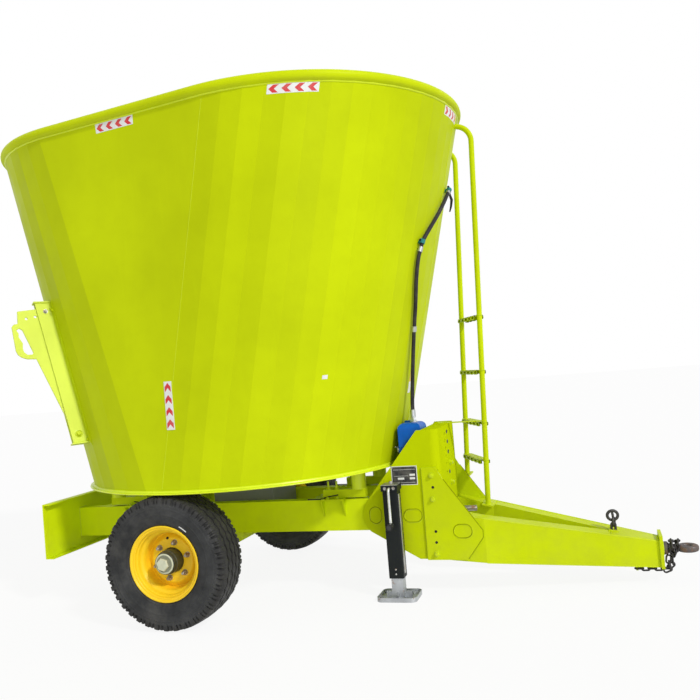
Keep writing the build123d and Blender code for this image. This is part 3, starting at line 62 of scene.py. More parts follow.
class Recipe:
    """Nodes of a finish, in a material or in an effect that several materials share."""

    def __init__(self, tree, place):
        self.tree = tree
        self.place = place

    def node(self, kind, **values):
        made = self.tree.nodes.new(kind)
        for key, value in values.items():
            setattr(made, key, value)
        return made

    def put(self, socket, value):
        if hasattr(value, "is_linked"):
            self.tree.links.new(value, socket)
        elif hasattr(value, "__len__") and len(value) == 3 and socket.type == "RGBA":
            socket.default_value = (*value, 1)
        else:
            socket.default_value = value

    def noise(self, scale, detail=4, stretch=None, rough=0.55):
        made = self.node("ShaderNodeTexNoise")
        place = self.place
        if stretch:
            mapping = self.node("ShaderNodeMapping")
            self.put(mapping.inputs["Vector"], place)
            mapping.inputs["Scale"].default_value = stretch
            place = mapping.outputs["Vector"]
        self.put(made.inputs["Vector"], place)
        self.put(made.inputs["Scale"], scale)
        made.inputs["Detail"].default_value = detail
        made.inputs["Roughness"].default_value = rough
        return made.outputs["Fac"]

    def span(self, value, low, high, to_low=0.0, to_high=1.0):
        made = self.node("ShaderNodeMapRange")
        self.put(made.inputs["Value"], value)
        self.put(made.inputs["From Min"], low)
        self.put(made.inputs["From Max"], high)
        self.put(made.inputs["To Min"], to_low)
        self.put(made.inputs["To Max"], to_high)
        return made.outputs["Result"]

    def sum(self, kind, a, b=0.0):
        made = self.node("ShaderNodeMath", operation=kind)
        self.put(made.inputs[0], a)
        self.put(made.inputs[1], b)
        return made.outputs["Value"]

    def mix(self, share, a, b, blend="MIX"):
        made = self.node("ShaderNodeMix", data_type="RGBA", blend_type=blend)
        self.put(made.inputs["Factor"], share)
        self.put(made.inputs[6], a)
        self.put(made.inputs[7], b)
        return made.outputs[2]

    def tint(self, colour, factor):
        """A colour made darker or brighter, and held under full white."""
        scaled = self.node("ShaderNodeVectorMath", operation="SCALE")
        self.put(scaled.inputs[0], colour)
        self.put(scaled.inputs["Scale"], factor)
        held = self.node("ShaderNodeVectorMath", operation="MINIMUM")
        self.put(held.inputs[0], scaled.outputs["Vector"])
        self.put(held.inputs[1], (1.0, 1.0, 1.0))
        return held.outputs["Vector"]

    def part(self, axis):
        split = self.node("ShaderNodeSeparateXYZ")
        self.put(split.inputs[0], self.place)
        return split.outputs[axis]

    def facing(self, axis, kind="Normal"):
        split = self.node("ShaderNodeSeparateXYZ")
        self.put(split.inputs[0], self.node("ShaderNodeNewGeometry").outputs[kind])
        return split.outputs[axis]


class Finish(Recipe):
    """One material: its Principled shader, and the effects that feed it."""

    def __init__(self, name):
        self.material = bpy.data.materials.new(name)
        self.material.use_nodes = True
        tree = self.material.node_tree
        self.shader = tree.nodes["Principled BSDF"]
        super().__init__(tree, tree.nodes.new("ShaderNodeTexCoord").outputs["Object"])

    def set(self, **values):
        for key, value in values.items():
            self.put(self.shader.inputs[key.replace("_", " ")], value)

    def effect(self, group, **values):
        made = self.node("ShaderNodeGroup", node_tree=group)
        self.put(made.inputs["Place"], self.place)
        for key, value in values.items():
            self.put(made.inputs[key.replace("_", " ")], value)
        return made.outputs

    def bump(self, height, strength, distance):
        made = self.node("ShaderNodeBump")
        made.inputs["Strength"].default_value = strength
        made.inputs["Distance"].default_value = distance
        self.put(made.inputs["Height"], height)
        self.put(self.shader.inputs["Normal"], made.outputs["Normal"])


def shared_effect(name, inputs, outputs):
    """An empty node group, with the recipe that fills it, what it is given and what it gives."""
    group = bpy.data.node_groups.new(name, "ShaderNodeTree")
    for way, sockets in (("INPUT", {"Place": "Vector", **inputs}), ("OUTPUT", outputs)):
        for label, kind in sockets.items():
            group.interface.new_socket(name=label, in_out=way, socket_type="NodeSocket" + kind)
    enter = group.nodes.new("NodeGroupInput")
    leave = group.nodes.new("NodeGroupOutput")
    return group, Recipe(group, enter.outputs["Place"]), enter.outputs, leave.inputs


sprayed_coat, coat, given, result = shared_effect(
    "sprayed_coat", {"Paint": "Color"}, {"Colour": "Color"})
tone = coat.mix(
    coat.span(coat.noise(1.6, 3), 0.35, 0.65), coat.tint(given["Paint"], 0.93),
    coat.tint(given["Paint"], 1.05))
tone = coat.mix(coat.span(coat.noise(14, 5), 0.45, 0.75, 0.0, 0.14), tone, coat.tint(given["Paint"], 0.78))
runs = coat.noise(3.2, 4, stretch=(9, 9, 0.7))
tone = coat.mix(coat.span(runs, 0.55, 0.8, 0.0, 0.12), tone, coat.tint(given["Paint"], 1.18))
coat.put(result["Colour"], tone)

field_wear, wear, given, result = shared_effect(
    "field_wear",
    {"Coat": "Color", "Dust": "Color", "Bare": "Color", "Wear": "Float", "Low Dust": "Float",
     "Gloss": "Float"},
    {"Colour": "Color", "Roughness": "Float", "Height": "Float"},
)
low = wear.span(wear.part(2), 0.75, 0.05, 0.0, wear.sum("MULTIPLY", given["Low Dust"], 0.34))
dust_and_underside_shade = wear.sum("MULTIPLY", low, wear.span(wear.noise(7, 6, rough=0.7), 0.35, 0.75))
# Faces that point down are mixed towards the dust colour as well: painted shade under things.
under = wear.span(wear.facing(2), -0.3, -0.95, 0.0, 0.22)
dust_and_underside_shade = wear.sum("MAXIMUM", dust_and_underside_shade, wear.sum("MULTIPLY", under, wear.span(wear.noise(4, 5), 0.3, 0.7)))
tone = wear.mix(dust_and_underside_shade, given["Coat"], given["Dust"])
worn_by = wear.sum("MULTIPLY", given["Wear"], 0.02)
chip = wear.span(
    wear.noise(38, 6, rough=0.72), wear.sum("SUBTRACT", 0.74, worn_by), wear.sum("SUBTRACT", 0.755, worn_by))
chip = wear.sum("MULTIPLY", chip, wear.span(wear.noise(2.3, 2), 0.5, 0.62))
wear.put(result["Colour"], wear.mix(chip, tone, given["Bare"]))
shine = wear.span(
    wear.noise(5, 4), 0.3, 0.7, wear.sum("SUBTRACT", given["Gloss"], 0.06),
    wear.sum("ADD", given["Gloss"], 0.1))
wear.put(result["Roughness"], wear.sum("ADD", shine, wear.sum("MULTIPLY", dust_and_underside_shade, 0.5)))
peel = wear.sum("ADD", wear.sum("MULTIPLY", wear.noise(420, 2), 0.35), wear.noise(26, 3))
wear.put(result["Height"], peel)


def paint(
    name, colour, dust=FIELD_DUST_AND_SHADE, bare=CHIPPED_STEEL, worn=0.5, gloss=0.42, low_dust=0.6, sheen=0.1,
    painted_light=None,
):
    """Sprayed gloss paint; painted light, where it is given, puts shade and glare on the fresh coat before it
    wears.
    """
    finish = Finish(name)
    tone = finish.effect(sprayed_coat, Paint=colour)["Colour"]
    if painted_light:
        tone = painted_light(finish, tone, colour)
    kept = finish.effect(
        field_wear, Coat=tone, Dust=dust, Bare=bare, Wear=worn, Low_Dust=low_dust, Gloss=gloss)
    finish.set(Base_Color=kept["Colour"], Roughness=kept["Roughness"], Specular_IOR_Level=sheen, Metallic=0.0)
    finish.bump(kept["Height"], 0.10, 0.0012)
    return finish.material


def coat_nodes(material, *names):
    """Gives the solids that stay their finish."""
    for name in names:
        node = NODES[name]
        if not node.material_slots:
            node.data.materials.append(material)
        for place in node.material_slots:
            place.material = material


def seat_frame(axis):
    """Turns a flat circle so that it faces along an axis."""
    axis = Vector(axis).normalized()
    side = axis.orthogonal().normalized()
    return Matrix((side.cross(axis), side, axis)).transposed().to_4x4()


def joined_rings(mesh, places, sides, closed=False):
    """Skin through circles, one at each place, with flat ends unless it closes on itself."""
    made = bmesh.ops.create_circle(mesh, cap_ends=not closed, segments=sides, radius=1.0, matrix=places[0])
    first = list({edge for vert in made["verts"] for edge in vert.link_edges})
    edges = first
    for here, there in zip(places, places[1:]):
        geom = bmesh.ops.extrude_edge_only(mesh, edges=edges)["geom"]
        ring = {part for part in geom if isinstance(part, bmesh.types.BMVert)}
        bmesh.ops.transform(mesh, verts=list(ring), matrix=there @ here.inverted())
        edges = [part for part in geom if isinstance(part, bmesh.types.BMEdge)]
        edges = [edge for edge in edges if ring.issuperset(edge.verts)]
    if closed:
        bmesh.ops.bridge_loops(mesh, edges=first + edges)
    else:
        bmesh.ops.edgeloop_fill(mesh, edges=edges)


def tube(mesh, path, radius, sides=12, closed=False):
    """Round bar bent along a path; its radius may change from point to point."""
    path = [Vector(point) for point in path]
    radii = radius if isinstance(radius, (list, tuple)) else [radius] * len(path)
    places = []
    across = None
    for number, point in enumerate(path):
        before = path[number - 1] if number or closed else point
        after = path[(number + 1) % len(path)] if number < len(path) - 1 or closed else point
        run = (after - before).normalized()
        if across is None:
            across = run.orthogonal().normalized()
        across = (across - run * across.dot(run)).normalized()
        turn = Matrix((across.cross(run), across, run)).transposed().to_4x4()
        places.append(Matrix.Translation(point) @ turn @ Matrix.Scale(radii[number], 4))
    joined_rings(mesh, places, sides, closed)


def joined(mesh, part):
    """Adds a finished part to the mesh of its piece."""
    data = bpy.data.meshes.new("part")
    part.to_mesh(data)
    part.free()
    mesh.from_mesh(data)
    bpy.data.meshes.remove(data)


def piece(name, body, slot, *parts, smooth=35, replaces=()):
    """A piece that rides on a body, from meshes that each bring their material."""
    whole = bmesh.new()
    data = bpy.data.meshes.new(name)
    for number, (mesh, material) in enumerate(parts):
        bmesh.ops.recalc_face_normals(mesh, faces=mesh.faces)
        for face in mesh.faces:
            face.material_index = number
            face.smooth = True
        joined(whole, mesh)
        data.materials.append(material)
    whole.to_mesh(data)
    whole.free()
    data.set_sharp_from_angle(angle=radians(smooth))
    made = bpy.data.objects.new(name, data)
    bpy.context.scene.collection.objects.link(made)
    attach(made, body)
    if replaces:
        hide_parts(*replaces)


# Painted light: the chassis paint is the green made brighter, to make up for the tub's shadow on it.
chassis_lit_green = paint("chassis_lit_paint", shade(GREEN, 1.2), sheen=0.06)
bead_green = paint("weld_paint", shade(GREEN, 1.02), worn=0.1, gloss=0.3, sheen=0.35)
coat_nodes(chassis_lit_green, "rail_right", "rail_left", "rear_bumper", "axle_beam", "cross_members")

mesh = bmesh.new()
for side in (-1, 1):
    for z in (0.579, 0.387):
        tube(mesh, [(at(-1.076), side * 0.213, z), (at(-1.076), side * 0.289, z)], BUMPER_BEAD, 6)
    tube(mesh, [(at(-1.076), side * 0.2885, 0.388), (at(-1.076), side * 0.2885, 0.578)], BUMPER_BEAD, 6)
    for x in (-0.047, 0.047):
        tube(mesh, [(at(x), side * 0.214, 0.386), (at(x), side * 0.290, 0.386)], BUMPER_BEAD, 6)
piece("chassis_welds", "wagon", "green", (mesh, bead_green))

# Tyres: wide implement tyres of moulded rubber, one on each end of the axle beam.
# A pitch of the tread has a long and a short block between cross cuts, and four winding
# grooves part the ribs. The outer wall carries moulded rings and one white dash.
WHEEL_Y = 0.929
WHEEL_R = 0.38
SIDES = (("right", -1), ("left", 1))
PITCHES = 38
LUG_ROWS = (  # share of a pitch, height of the block there
    (0.0, 0.0), (0.06, 0.0), (0.12, 1.0), (0.30, 1.0), (0.48, 1.0), (0.54, 0.0), (0.60, 0.0), (0.68, 0.7),
    (0.82, 0.7), (0.92, 0.0), (1.0, 0.0),
)
GROOVE_SWAY = 0.0062
WALL_HALF = (  # outboard, radius: bead to shoulder, with moulded rings
    (0.103, 0.1965), (0.1065, 0.204), (0.1068, 0.215), (0.1095, 0.2195), (0.1132, 0.2215), (0.1148, 0.2255),
    (0.1168, 0.2275), (0.1172, 0.2325), (0.1200, 0.2335), (0.1238, 0.2450), (0.1272, 0.2610),
    (0.1292, 0.2760), (0.1304, 0.2775), (0.1306, 0.2800), (0.1294, 0.2815), (0.1300, 0.2960),
    (0.1304, 0.3105), (0.1318, 0.3120), (0.1318, 0.3160), (0.1304, 0.3170),
)
GROOVE_HALF = (  # outboard of the groove's middle, depth under the crown
    (0.0150, 0.0008), (0.0080, 0.0006), (0.0058, 0.0135), (-0.0058, 0.0130), (-0.0080, 0.0003),
    (-0.0140, 0.0),
)
DASH = ((0.1222, 0.2375), (0.1248, 0.2455))
DASH_START, DASH_TURN = 48, 12

printed_film, film, given, result = shared_effect(
    "printed_film", {"Ink": "Color"}, {"Colour": "Color", "Height": "Float"})
yellowed = film.span(film.noise(20, 5), 0.4, 0.8, 0.0, 0.25)
film.put(result["Colour"], film.mix(yellowed, given["Ink"], (0.5, 0.47, 0.4)))
film.put(result["Height"], film.noise(260, 2))


def printed(name, colour):
    finish = Finish(name)
    made = finish.effect(printed_film, Ink=colour)
    finish.set(Base_Color=made["Colour"], Roughness=0.4, Specular_IOR_Level=0.45)
    finish.bump(made["Height"], 0.08, 0.0006)
    return finish.material


axle_round, ring, given, result = shared_effect("axle_round", {}, {"Radius": "Float"})
along = ring.sum("POWER", ring.sum("SUBTRACT", ring.part(0), AXLE_X), 2.0)
above = ring.sum("POWER", ring.sum("SUBTRACT", ring.part(2), WHEEL_R), 2.0)
ring.put(result["Radius"], ring.sum("SQRT", ring.sum("ADD", along, above)))


def tyre_finish():
    """Grey bloom on the walls, dust in the tread and fine moulding lines."""
    finish = Finish("tyre_rubber")
    bloom = finish.span(finish.noise(6, 6, rough=0.65), 0.35, 0.72)
    tone = finish.mix(bloom, (0.016, 0.017, 0.018), (0.060, 0.062, 0.064))
    radius = finish.effect(axle_round)["Radius"]
    tread = finish.sum("MULTIPLY", finish.span(radius, 0.330, 0.362), finish.span(
        finish.noise(20, 6), 0.3, 0.7, 0.5, 0.9))
    tone = finish.mix(tread, tone, (0.022, 0.021, 0.020))
    dust = finish.span(finish.noise(3, 6, rough=0.7), 0.5, 0.8, 0.0, 0.25)
    finish.set(
        Base_Color=finish.mix(dust, tone, (0.13, 0.115, 0.09)),
        Roughness=finish.span(finish.noise(11, 5), 0.3, 0.7, 0.55, 0.8),
        Specular_IOR_Level=0.35,
    )
    lines = finish.sum("MULTIPLY", finish.sum("SINE", finish.sum("MULTIPLY", radius, 1900.0)), 0.12)
    finish.bump(finish.sum("ADD", lines, finish.noise(170, 5)), 0.25, 0.0012)
    return finish.material


def tyre_section(lug, sway):
    """One cross section of a tyre: walls, shoulders and grooved crown, as outboard and radius."""
    cut = 1.0 - lug
    line = list(WALL_HALF)
    line += [
        (0.1300 - 0.0016 * lug, 0.3230),
        (0.1296 + 0.0014 * lug, 0.3300),
        (0.1292 + 0.0016 * lug - 0.0020 * cut, 0.3360),
        (0.1285 - 0.0110 * cut, 0.3420),
        (0.1275 - 0.0125 * cut, 0.3600),
        (0.1230 - 0.0100 * cut, 0.3668 - 0.005 * cut),
        (0.1160 - 0.0045 * cut, 0.3718 - 0.0070 * cut),
        (0.1000, 0.3745 - 0.0045 * cut),
        (0.0930, 0.3750 - 0.0010 * cut),
    ]
    for place, crown, way in ((0.066, 0.3775, 1), (0.022, 0.3796, -1)):
        line += [(place + out + sway * way, crown - depth) for out, depth in GROOVE_HALF]
    return line + [(0.0, 0.3798)] + [(-out, radius) for out, radius in reversed(line)]


def first_row(mesh, spots, closed=True):
    """Starts a skin from a few vertices joined by edges."""
    row = [mesh.verts.new(spot) for spot in spots]
    for pair in zip(row, row[1:] + row[:1] if closed else row[1:]):
        mesh.edges.new(pair)
    return row


def next_row(mesh, row, spots):
    """Extrudes a row's edges and moves each new vertex to its own spot."""
    edges = {mesh.edges.get(pair) for pair in zip(row, row[1:] + row[:1])} - {None}
    geom = bmesh.ops.extrude_edge_only(mesh, edges=list(edges))["geom"]
    fresh = {part for part in geom if isinstance(part, bmesh.types.BMVert)}
    ahead = []
    for vert, spot in zip(row, spots):
        moved = next(edge.other_vert(vert) for edge in vert.link_edges if edge.other_vert(vert) in fresh)
        moved.co = spot
        ahead.append(moved)
    return ahead


tyre_rubber = tyre_finish()
white_film = printed("white_film", (0.82, 0.83, 0.84))
coat_nodes(tyre_rubber, "tyre_right", "tyre_left")
for side_name, side in SIDES:
    centre = Vector((AXLE_X, side * WHEEL_Y, WHEEL_R))

    def wheel_spot(out, radius, turn):
        return centre + Vector((radius * cos(turn), side * out, radius * sin(turn)))

    mesh = bmesh.new()
    row = None
    for share, lug in LUG_ROWS:
        sway = GROOVE_SWAY * (1 - 4 * abs(((share - 0.05) % 1.0) - 0.5))
        spots = [wheel_spot(out, radius, 2 * pi * share / PITCHES) for out, radius in tyre_section(lug, sway)]
        row = next_row(mesh, row, spots) if row else first_row(mesh, spots)
    bmesh.ops.spin(
        mesh, geom=mesh.verts[:] + mesh.edges[:] + mesh.faces[:], cent=centre, axis=(0, 1, 0),
        angle=2 * pi * (PITCHES - 1) / PITCHES, steps=PITCHES - 1, use_duplicate=True)
    bmesh.ops.remove_doubles(mesh, verts=mesh.verts, dist=0.00001)
    piece(f"tyre_{side_name}_tread", f"wheel_{side_name}", "tyre", (mesh, tyre_rubber), smooth=32,
          replaces=[f"tyre_{side_name}"])

    mesh = bmesh.new()
    ends = [wheel_spot(out, radius, radians(DASH_START)) for out, radius in DASH]
    row = first_row(mesh, ends, closed=False)
    bmesh.ops.spin(
        mesh, geom=row + mesh.edges[:], cent=centre, axis=(0, -1, 0), angle=radians(DASH_TURN), steps=12)
    piece(f"tyre_{side_name}_dash", f"wheel_{side_name}", "tyre", (mesh, white_film))

# Rims, hubs and valves: a stepped rim rolled from steel and sprayed orange, on a cast hub that
# was turned and painted dark olive. Six nuts on studs clamp the rim's disc to the hub's flange,
# and a large nut closes the hub's barrel; its top face and the ring round it carry a painted highlight.
RIM_PROFILE = (  # outboard, radius: round the rim's section from the outer lip
    (0.1075, 0.2125), (0.1085, 0.2145), (0.1115, 0.2150), (0.1145, 0.2140), (0.1160, 0.2110),
    (0.1157, 0.2070), (0.1125, 0.2035), (0.1075, 0.2015), (0.1045, 0.1985), (0.1035, 0.1935),
    (0.1005, 0.1905), (0.0890, 0.1890), (0.0850, 0.1865), (0.0835, 0.1835), (0.0800, 0.1815),
    (0.0640, 0.1800), (0.0590, 0.1775), (0.0530, 0.1700), (0.0470, 0.1640), (0.0400, 0.1612),
    (0.0200, 0.1603), (0.0000, 0.1600), (-0.0130, 0.1590), (-0.0165, 0.1565), (-0.0165, 0.1535),
    (-0.0130, 0.1490), (-0.0020, 0.1390), (0.0085, 0.1290), (0.0112, 0.1250), (0.0118, 0.1200),
    (0.0118, 0.0730), (0.0095, 0.0700), (0.0020, 0.0695), (0.0010, 0.0710), (0.0010, 0.1200),
    (-0.0110, 0.1335), (-0.0280, 0.1490), (-0.0290, 0.1605), (-0.0510, 0.1610), (-0.0670, 0.1845),
    (-0.1140, 0.1875), (-0.1160, 0.1900), (-0.1160, 0.2120), (-0.1140, 0.2145), (-0.1110, 0.2150),
    (-0.1090, 0.2130), (-0.1090, 0.1950), (-0.0600, 0.1917), (-0.0440, 0.1682), (0.0100, 0.1682),
    (0.0340, 0.1917), (0.1075, 0.1950),
)
HUB_PROFILE = (  # outboard, radius: round the hub's section from its inner end
    (-0.0950, 0.0301), (-0.0950, 0.0745), (-0.0935, 0.0760), (-0.0650, 0.0760), (-0.0560, 0.0650),
    (-0.0530, 0.0620), (-0.0150, 0.0620), (-0.0150, 0.1135), (-0.0135, 0.1150), (-0.0005, 0.1150),
    (0.0008, 0.1135), (0.0010, 0.0680), (0.0120, 0.0672), (0.0680, 0.0655), (0.0710, 0.0672),
    (0.0750, 0.0672), (0.0770, 0.0645), (0.0950, 0.0620), (0.1010, 0.0600), (0.1040, 0.0560),
    (0.1050, 0.0500), (0.1050, 0.0001), (0.0930, 0.0001), (0.0930, 0.0301),
)
NUT_TURN = 17  # degrees by which the parked wheels' nuts stand past level
NUT_CIRCLE = 0.1025
HUB_END = 0.105
VALVE_CIRCLE, VALVE_TURN = 0.126, 100

moulded, mould, given, result = shared_effect(
    "moulded", {"Colour": "Color", "Roughness": "Float", "Grain": "Float", "Dusty": "Float"},
    {"Colour": "Color", "Roughness": "Float", "Height": "Float"})
tone = mould.mix(
    mould.span(mould.noise(8, 4), 0.35, 0.7), mould.tint(given["Colour"], 0.85),
    mould.tint(given["Colour"], 1.12))
dusty = mould.span(mould.noise(18, 6), 0.5, 0.8, 0.0, given["Dusty"])
mould.put(result["Colour"], mould.mix(dusty, tone, (0.45, 0.42, 0.36)))
mould.put(result["Roughness"], mould.span(
    mould.noise(30, 4), 0.3, 0.7, mould.sum("SUBTRACT", given["Roughness"], 0.08),
    mould.sum("ADD", given["Roughness"], 0.12)))
mould.put(result["Height"], mould.noise(given["Grain"], 3))


def plastic(name, colour, rough=0.45, grain=300, dusty=0.1):
    finish = Finish(name)
    made = finish.effect(moulded, Colour=colour, Roughness=rough, Grain=grain, Dusty=dusty)
    finish.set(Base_Color=made["Colour"], Roughness=made["Roughness"], Specular_IOR_Level=0.15)
    finish.bump(made["Height"], 0.12, 0.0008)
    return finish.material


def hub_finish():
    """Olive casting with a painted highlight on the ring and the nut at its end, and rusty nuts outside its
    barrel.
    """
    finish = Finish("hub_paint")
    radius = finish.effect(axle_round)["Radius"]
    out = finish.sum("ABSOLUTE", finish.part(1))
    nuts = finish.sum("MULTIPLY", finish.span(radius, 0.079, 0.081), finish.sum(
        "GREATER_THAN", out, WHEEL_Y + 0.0105))
    cast = finish.span(finish.noise(12, 5), 0.35, 0.7)
    olive = finish.mix(cast, (0.028, 0.030, 0.016), (0.075, 0.080, 0.045))
    cap = finish.sum("GREATER_THAN", out, WHEEL_Y + 0.1035)
    olive = finish.mix(cap, olive, finish.mix(finish.noise(16, 5), (0.17, 0.18, 0.12), (0.33, 0.34, 0.25)))
    # Painted highlight: the ring round the hub's end and the top of its nut are made bright.
    edge = finish.sum("MULTIPLY", cap, finish.span(radius, 0.0465, 0.0480))
    top = finish.sum("GREATER_THAN", out, WHEEL_Y + 0.1225)
    painted_highlight = finish.mix(finish.noise(30, 5), (0.46, 0.48, 0.34), (0.78, 0.80, 0.62))
    olive = finish.mix(finish.sum("MAXIMUM", edge, top), olive, painted_highlight)
    rust = finish.span(finish.noise(45, 7, rough=0.7), 0.46, 0.6)
    steel = finish.mix(rust, (0.42, 0.40, 0.36), (0.24, 0.14, 0.075))
    finish.set(
        Base_Color=finish.mix(nuts, olive, steel),
        Metallic=finish.sum("MULTIPLY", nuts, 0.75),
        Roughness=finish.span(finish.noise(25, 5), 0.3, 0.7, 0.38, 0.62),
    )
    finish.bump(finish.noise(120, 6), 0.3, 0.0012)
    return finish.material


def spun_ring(mesh, centre, axis, section, steps):
    """Closed section of (height along the axis, radius) spun all the way round it."""
    axis = Vector(axis).normalized()
    side = axis.orthogonal().normalized()
    row = first_row(mesh, [Vector(centre) + axis * height + side * radius for height, radius in section])
    edges = [mesh.edges.get(pair) for pair in zip(row, row[1:] + row[:1])]
    bmesh.ops.spin(
        mesh, geom=row + edges, cent=Vector(centre), axis=axis, angle=2 * pi, steps=steps, use_merge=True)


def turned(mesh, foot, axis, outline, sides):
    """Solid round part, from circles of (height, radius) one above the other."""
    frame_at = seat_frame(axis)
    way = Vector(axis).normalized()
    joined_rings(mesh, [
        Matrix.Translation(Vector(foot) + way * height) @ frame_at @ Matrix.Scale(radius, 4)
        for height, radius in outline
    ], sides)


def bolt(mesh, seat, axis, across=0.019, washer=True, stud=0.0):
    """Hexagon head with a chamfered top, on its washer, with the stud's end where one shows."""
    radius = across / math.sqrt(3)
    low = across * 0.1 if washer else 0.0
    if washer:
        turned(mesh, seat, axis, ((-0.001, radius * 1.28), (low, radius * 1.28)), 20)
    top = low + across * 0.6
    turned(mesh, seat, axis, ((low, radius), (low + across * 0.5, radius), (top, radius * 0.86)), 6)
    if stud:
        turned(mesh, seat, axis, ((top - 0.002, radius * 0.5), (top + stud, radius * 0.5)), 14)


rim_orange = paint("rim_paint", (1.0, 0.645, 0.018), worn=0.8, gloss=0.36, low_dust=0.12, sheen=0.3)
hub_olive = hub_finish()
cap_black = plastic("grip_plastic", (0.015, 0.015, 0.016), rough=0.5)
coat_nodes(rim_orange, "rim_right", "rim_left")
coat_nodes(hub_olive, "hub_right", "hub_left")
for side_name, side in SIDES:
    centre = Vector((AXLE_X, side * WHEEL_Y, WHEEL_R))
    out = Vector((0, side, 0))
    mesh = bmesh.new()
    spun_ring(mesh, centre, out, RIM_PROFILE, 96)
    piece(f"rim_{side_name}_stepped", f"wheel_{side_name}", "orange", (mesh, rim_orange), smooth=28,
          replaces=[f"rim_{side_name}"])

    mesh = bmesh.new()
    spun_ring(mesh, centre, out, HUB_PROFILE, 72)
    for number in range(6):
        turn = radians(60 * number + NUT_TURN)
        spot = centre + Vector((NUT_CIRCLE * cos(turn), side * 0.011, NUT_CIRCLE * sin(turn)))
        spun_ring(mesh, spot, out, (
            (-0.001, 0.008), (-0.001, 0.0165), (0.002, 0.0165), (0.003, 0.0135), (0.003, 0.008)), 22)
        bolt(mesh, spot + out * 0.002, out, across=0.0265, washer=False)
        turned(mesh, spot, out, ((0.014, 0.009), (0.031, 0.009), (0.0335, 0.0065)), 16)
        turned(mesh, spot - out * 0.034, out, ((0.0, 0.012), (0.009, 0.012)), 16)
    end = centre + out * HUB_END
    spun_ring(mesh, end, out, (
        (-0.002, 0.0485), (-0.002, 0.0535), (0.002, 0.0530), (0.003, 0.0510), (0.002, 0.0490)), 48)
    bolt(mesh, end - out * 0.014, out, across=0.066, washer=False)
    piece(f"hub_{side_name}_turned", f"wheel_{side_name}", "hub", (mesh, hub_olive),
          replaces=[f"hub_{side_name}"])

    mesh = bmesh.new()
    turn = radians(VALVE_TURN)
    valve = centre + Vector((VALVE_CIRCLE * cos(turn), side * 0.0105, VALVE_CIRCLE * sin(turn)))
    turned(mesh, valve, out, ((-0.002, 0.0075), (0.0022, 0.0075), (0.003, 0.0060)), 20)
    tube(mesh, [valve, valve + out * 0.010], 0.0045, 12)
    piece(f"valve_{side_name}", f"wheel_{side_name}", "tyre", (mesh, cap_black))

# Front post and gusset plates: a folded post stands between the rails, and a large flame-cut
# plate on each side ties it to the rail and the drawbar. Bolts and plug welds hold the plates,
# beads run along their edges, and two bolts and four slots show on the post's front. Dark lines
# round the plugs and along the gussets' outer edges are painted shade in the creases, and black
# discs in the plates' holes and black ovals in the post's slots are painted shade too.
POST_X, POST_Y = 1.455, 0.300
GUSSET_FACE = 0.012  # how far the gusset plates stand out from the post
GUSSET_BOLTS = ((1.402, 0.709), (1.401, 0.568), (1.399, 0.243))
GUSSET_HOLES = ((1.407, 0.638), (1.403, 0.376), (1.402, 0.311))
GUSSET_SEAM = ((1.4715, 0.684), (1.682, 0.380), (1.682, 0.338), (1.585, 0.211))
GUSSET_BEAD = ((1.342, 0.211), (1.345, 0.754), (1.430, 0.754))
PLUGS = (  # middle X and Z, half length, half height, on the gusset or not
    (1.270, 0.472, 0.056, 0.039, False),
    (1.564, 0.376, 0.055, 0.040, True),
    (1.037, 0.479, 0.038, 0.050, False),
)
POST_BOLTS = ((0.044, 0.738), (0.042, 0.613))
POST_SLOTS = (0.934, 0.872, 0.808, 0.682)
POST_SLOT_Y, SLOT_HALF_L, SLOT_HALF_H = 0.020, 0.021, 0.0125


def plug_path(x, z, half_l, half_h, y):
    """Closed path round a plug's outline, in the plane of the side plates."""
    path = []
    radius = min(half_l, half_h)
    for number in range(40):
        turn = 2 * pi * number / 40
        path.append(Vector((
            at(x) + math.copysign(half_l - radius, cos(turn)) + radius * cos(turn), y,
            z + math.copysign(half_h - radius, sin(turn)) + radius * sin(turn))))
    return path


green = paint("green_paint", GREEN, sheen=0.06)
# Painted shade: this much darker green draws the creases round the plugs, along the gussets' edges and inside
# the ladder's treads.
crease_shade_green = paint("crease_shade_paint", shade(GREEN, 0.52), worn=0.1, gloss=0.5, sheen=0.0)
# Painted shade: the post's paint is the green made darker and without sheen.
coat_nodes(paint("post_shaded_paint", shade(GREEN, 0.94), sheen=0.0), "front_post")
coat_nodes(green, "gusset_plate_right", "gusset_plate_left")
for side_name, side in SIDES:
    mesh = bmesh.new()
    for x, z in GUSSET_BOLTS:
        bolt(mesh, (at(x), side * (POST_Y + GUSSET_FACE), z), (0, side, 0), across=0.024, stud=0.004)
    piece(f"gusset_bolts_{side_name}", "wagon", "green", (mesh, bead_green))

    mesh = bmesh.new()
    # Painted shade: a thin black disc in each hole of the gusset plate stands for the dark inside it.
    for x, z in GUSSET_HOLES:
        hole = (at(x), side * (POST_Y + 0.0118), z)
        turned(mesh, hole, (0, side, 0), ((0.0, 0.0075), (0.0008, 0.0082)), 20)
    piece(f"gusset_hole_shade_{side_name}", "wagon", "black", (mesh, cap_black))

    # Painted shade in the creases round each plug and along the gusset's edge.
    seams = bmesh.new()
    beads = bmesh.new()
    for x, z, half_l, half_h, on_gusset in PLUGS:
        face = side * (POST_Y + (GUSSET_FACE if on_gusset else 0.0))
        tube(seams, plug_path(x, z, half_l, half_h, face), 0.0026, 6, closed=True)
        tube(beads, plug_path(x + 0.003, z - 0.0045, half_l, half_h, face), 0.0020, 6, closed=True)
    tube(seams, [(at(x), side * (POST_Y + 0.0105), z) for x, z in GUSSET_SEAM], 0.0030, 6)
    tube(beads, [(at(x), side * (POST_Y + 0.003), z) for x, z in GUSSET_BEAD], 0.0055, 8)
    piece(f"plate_crease_shade_{side_name}", "wagon", "green", (seams, crease_shade_green))
    piece(f"gusset_welds_{side_name}", "wagon", "green", (beads, bead_green))

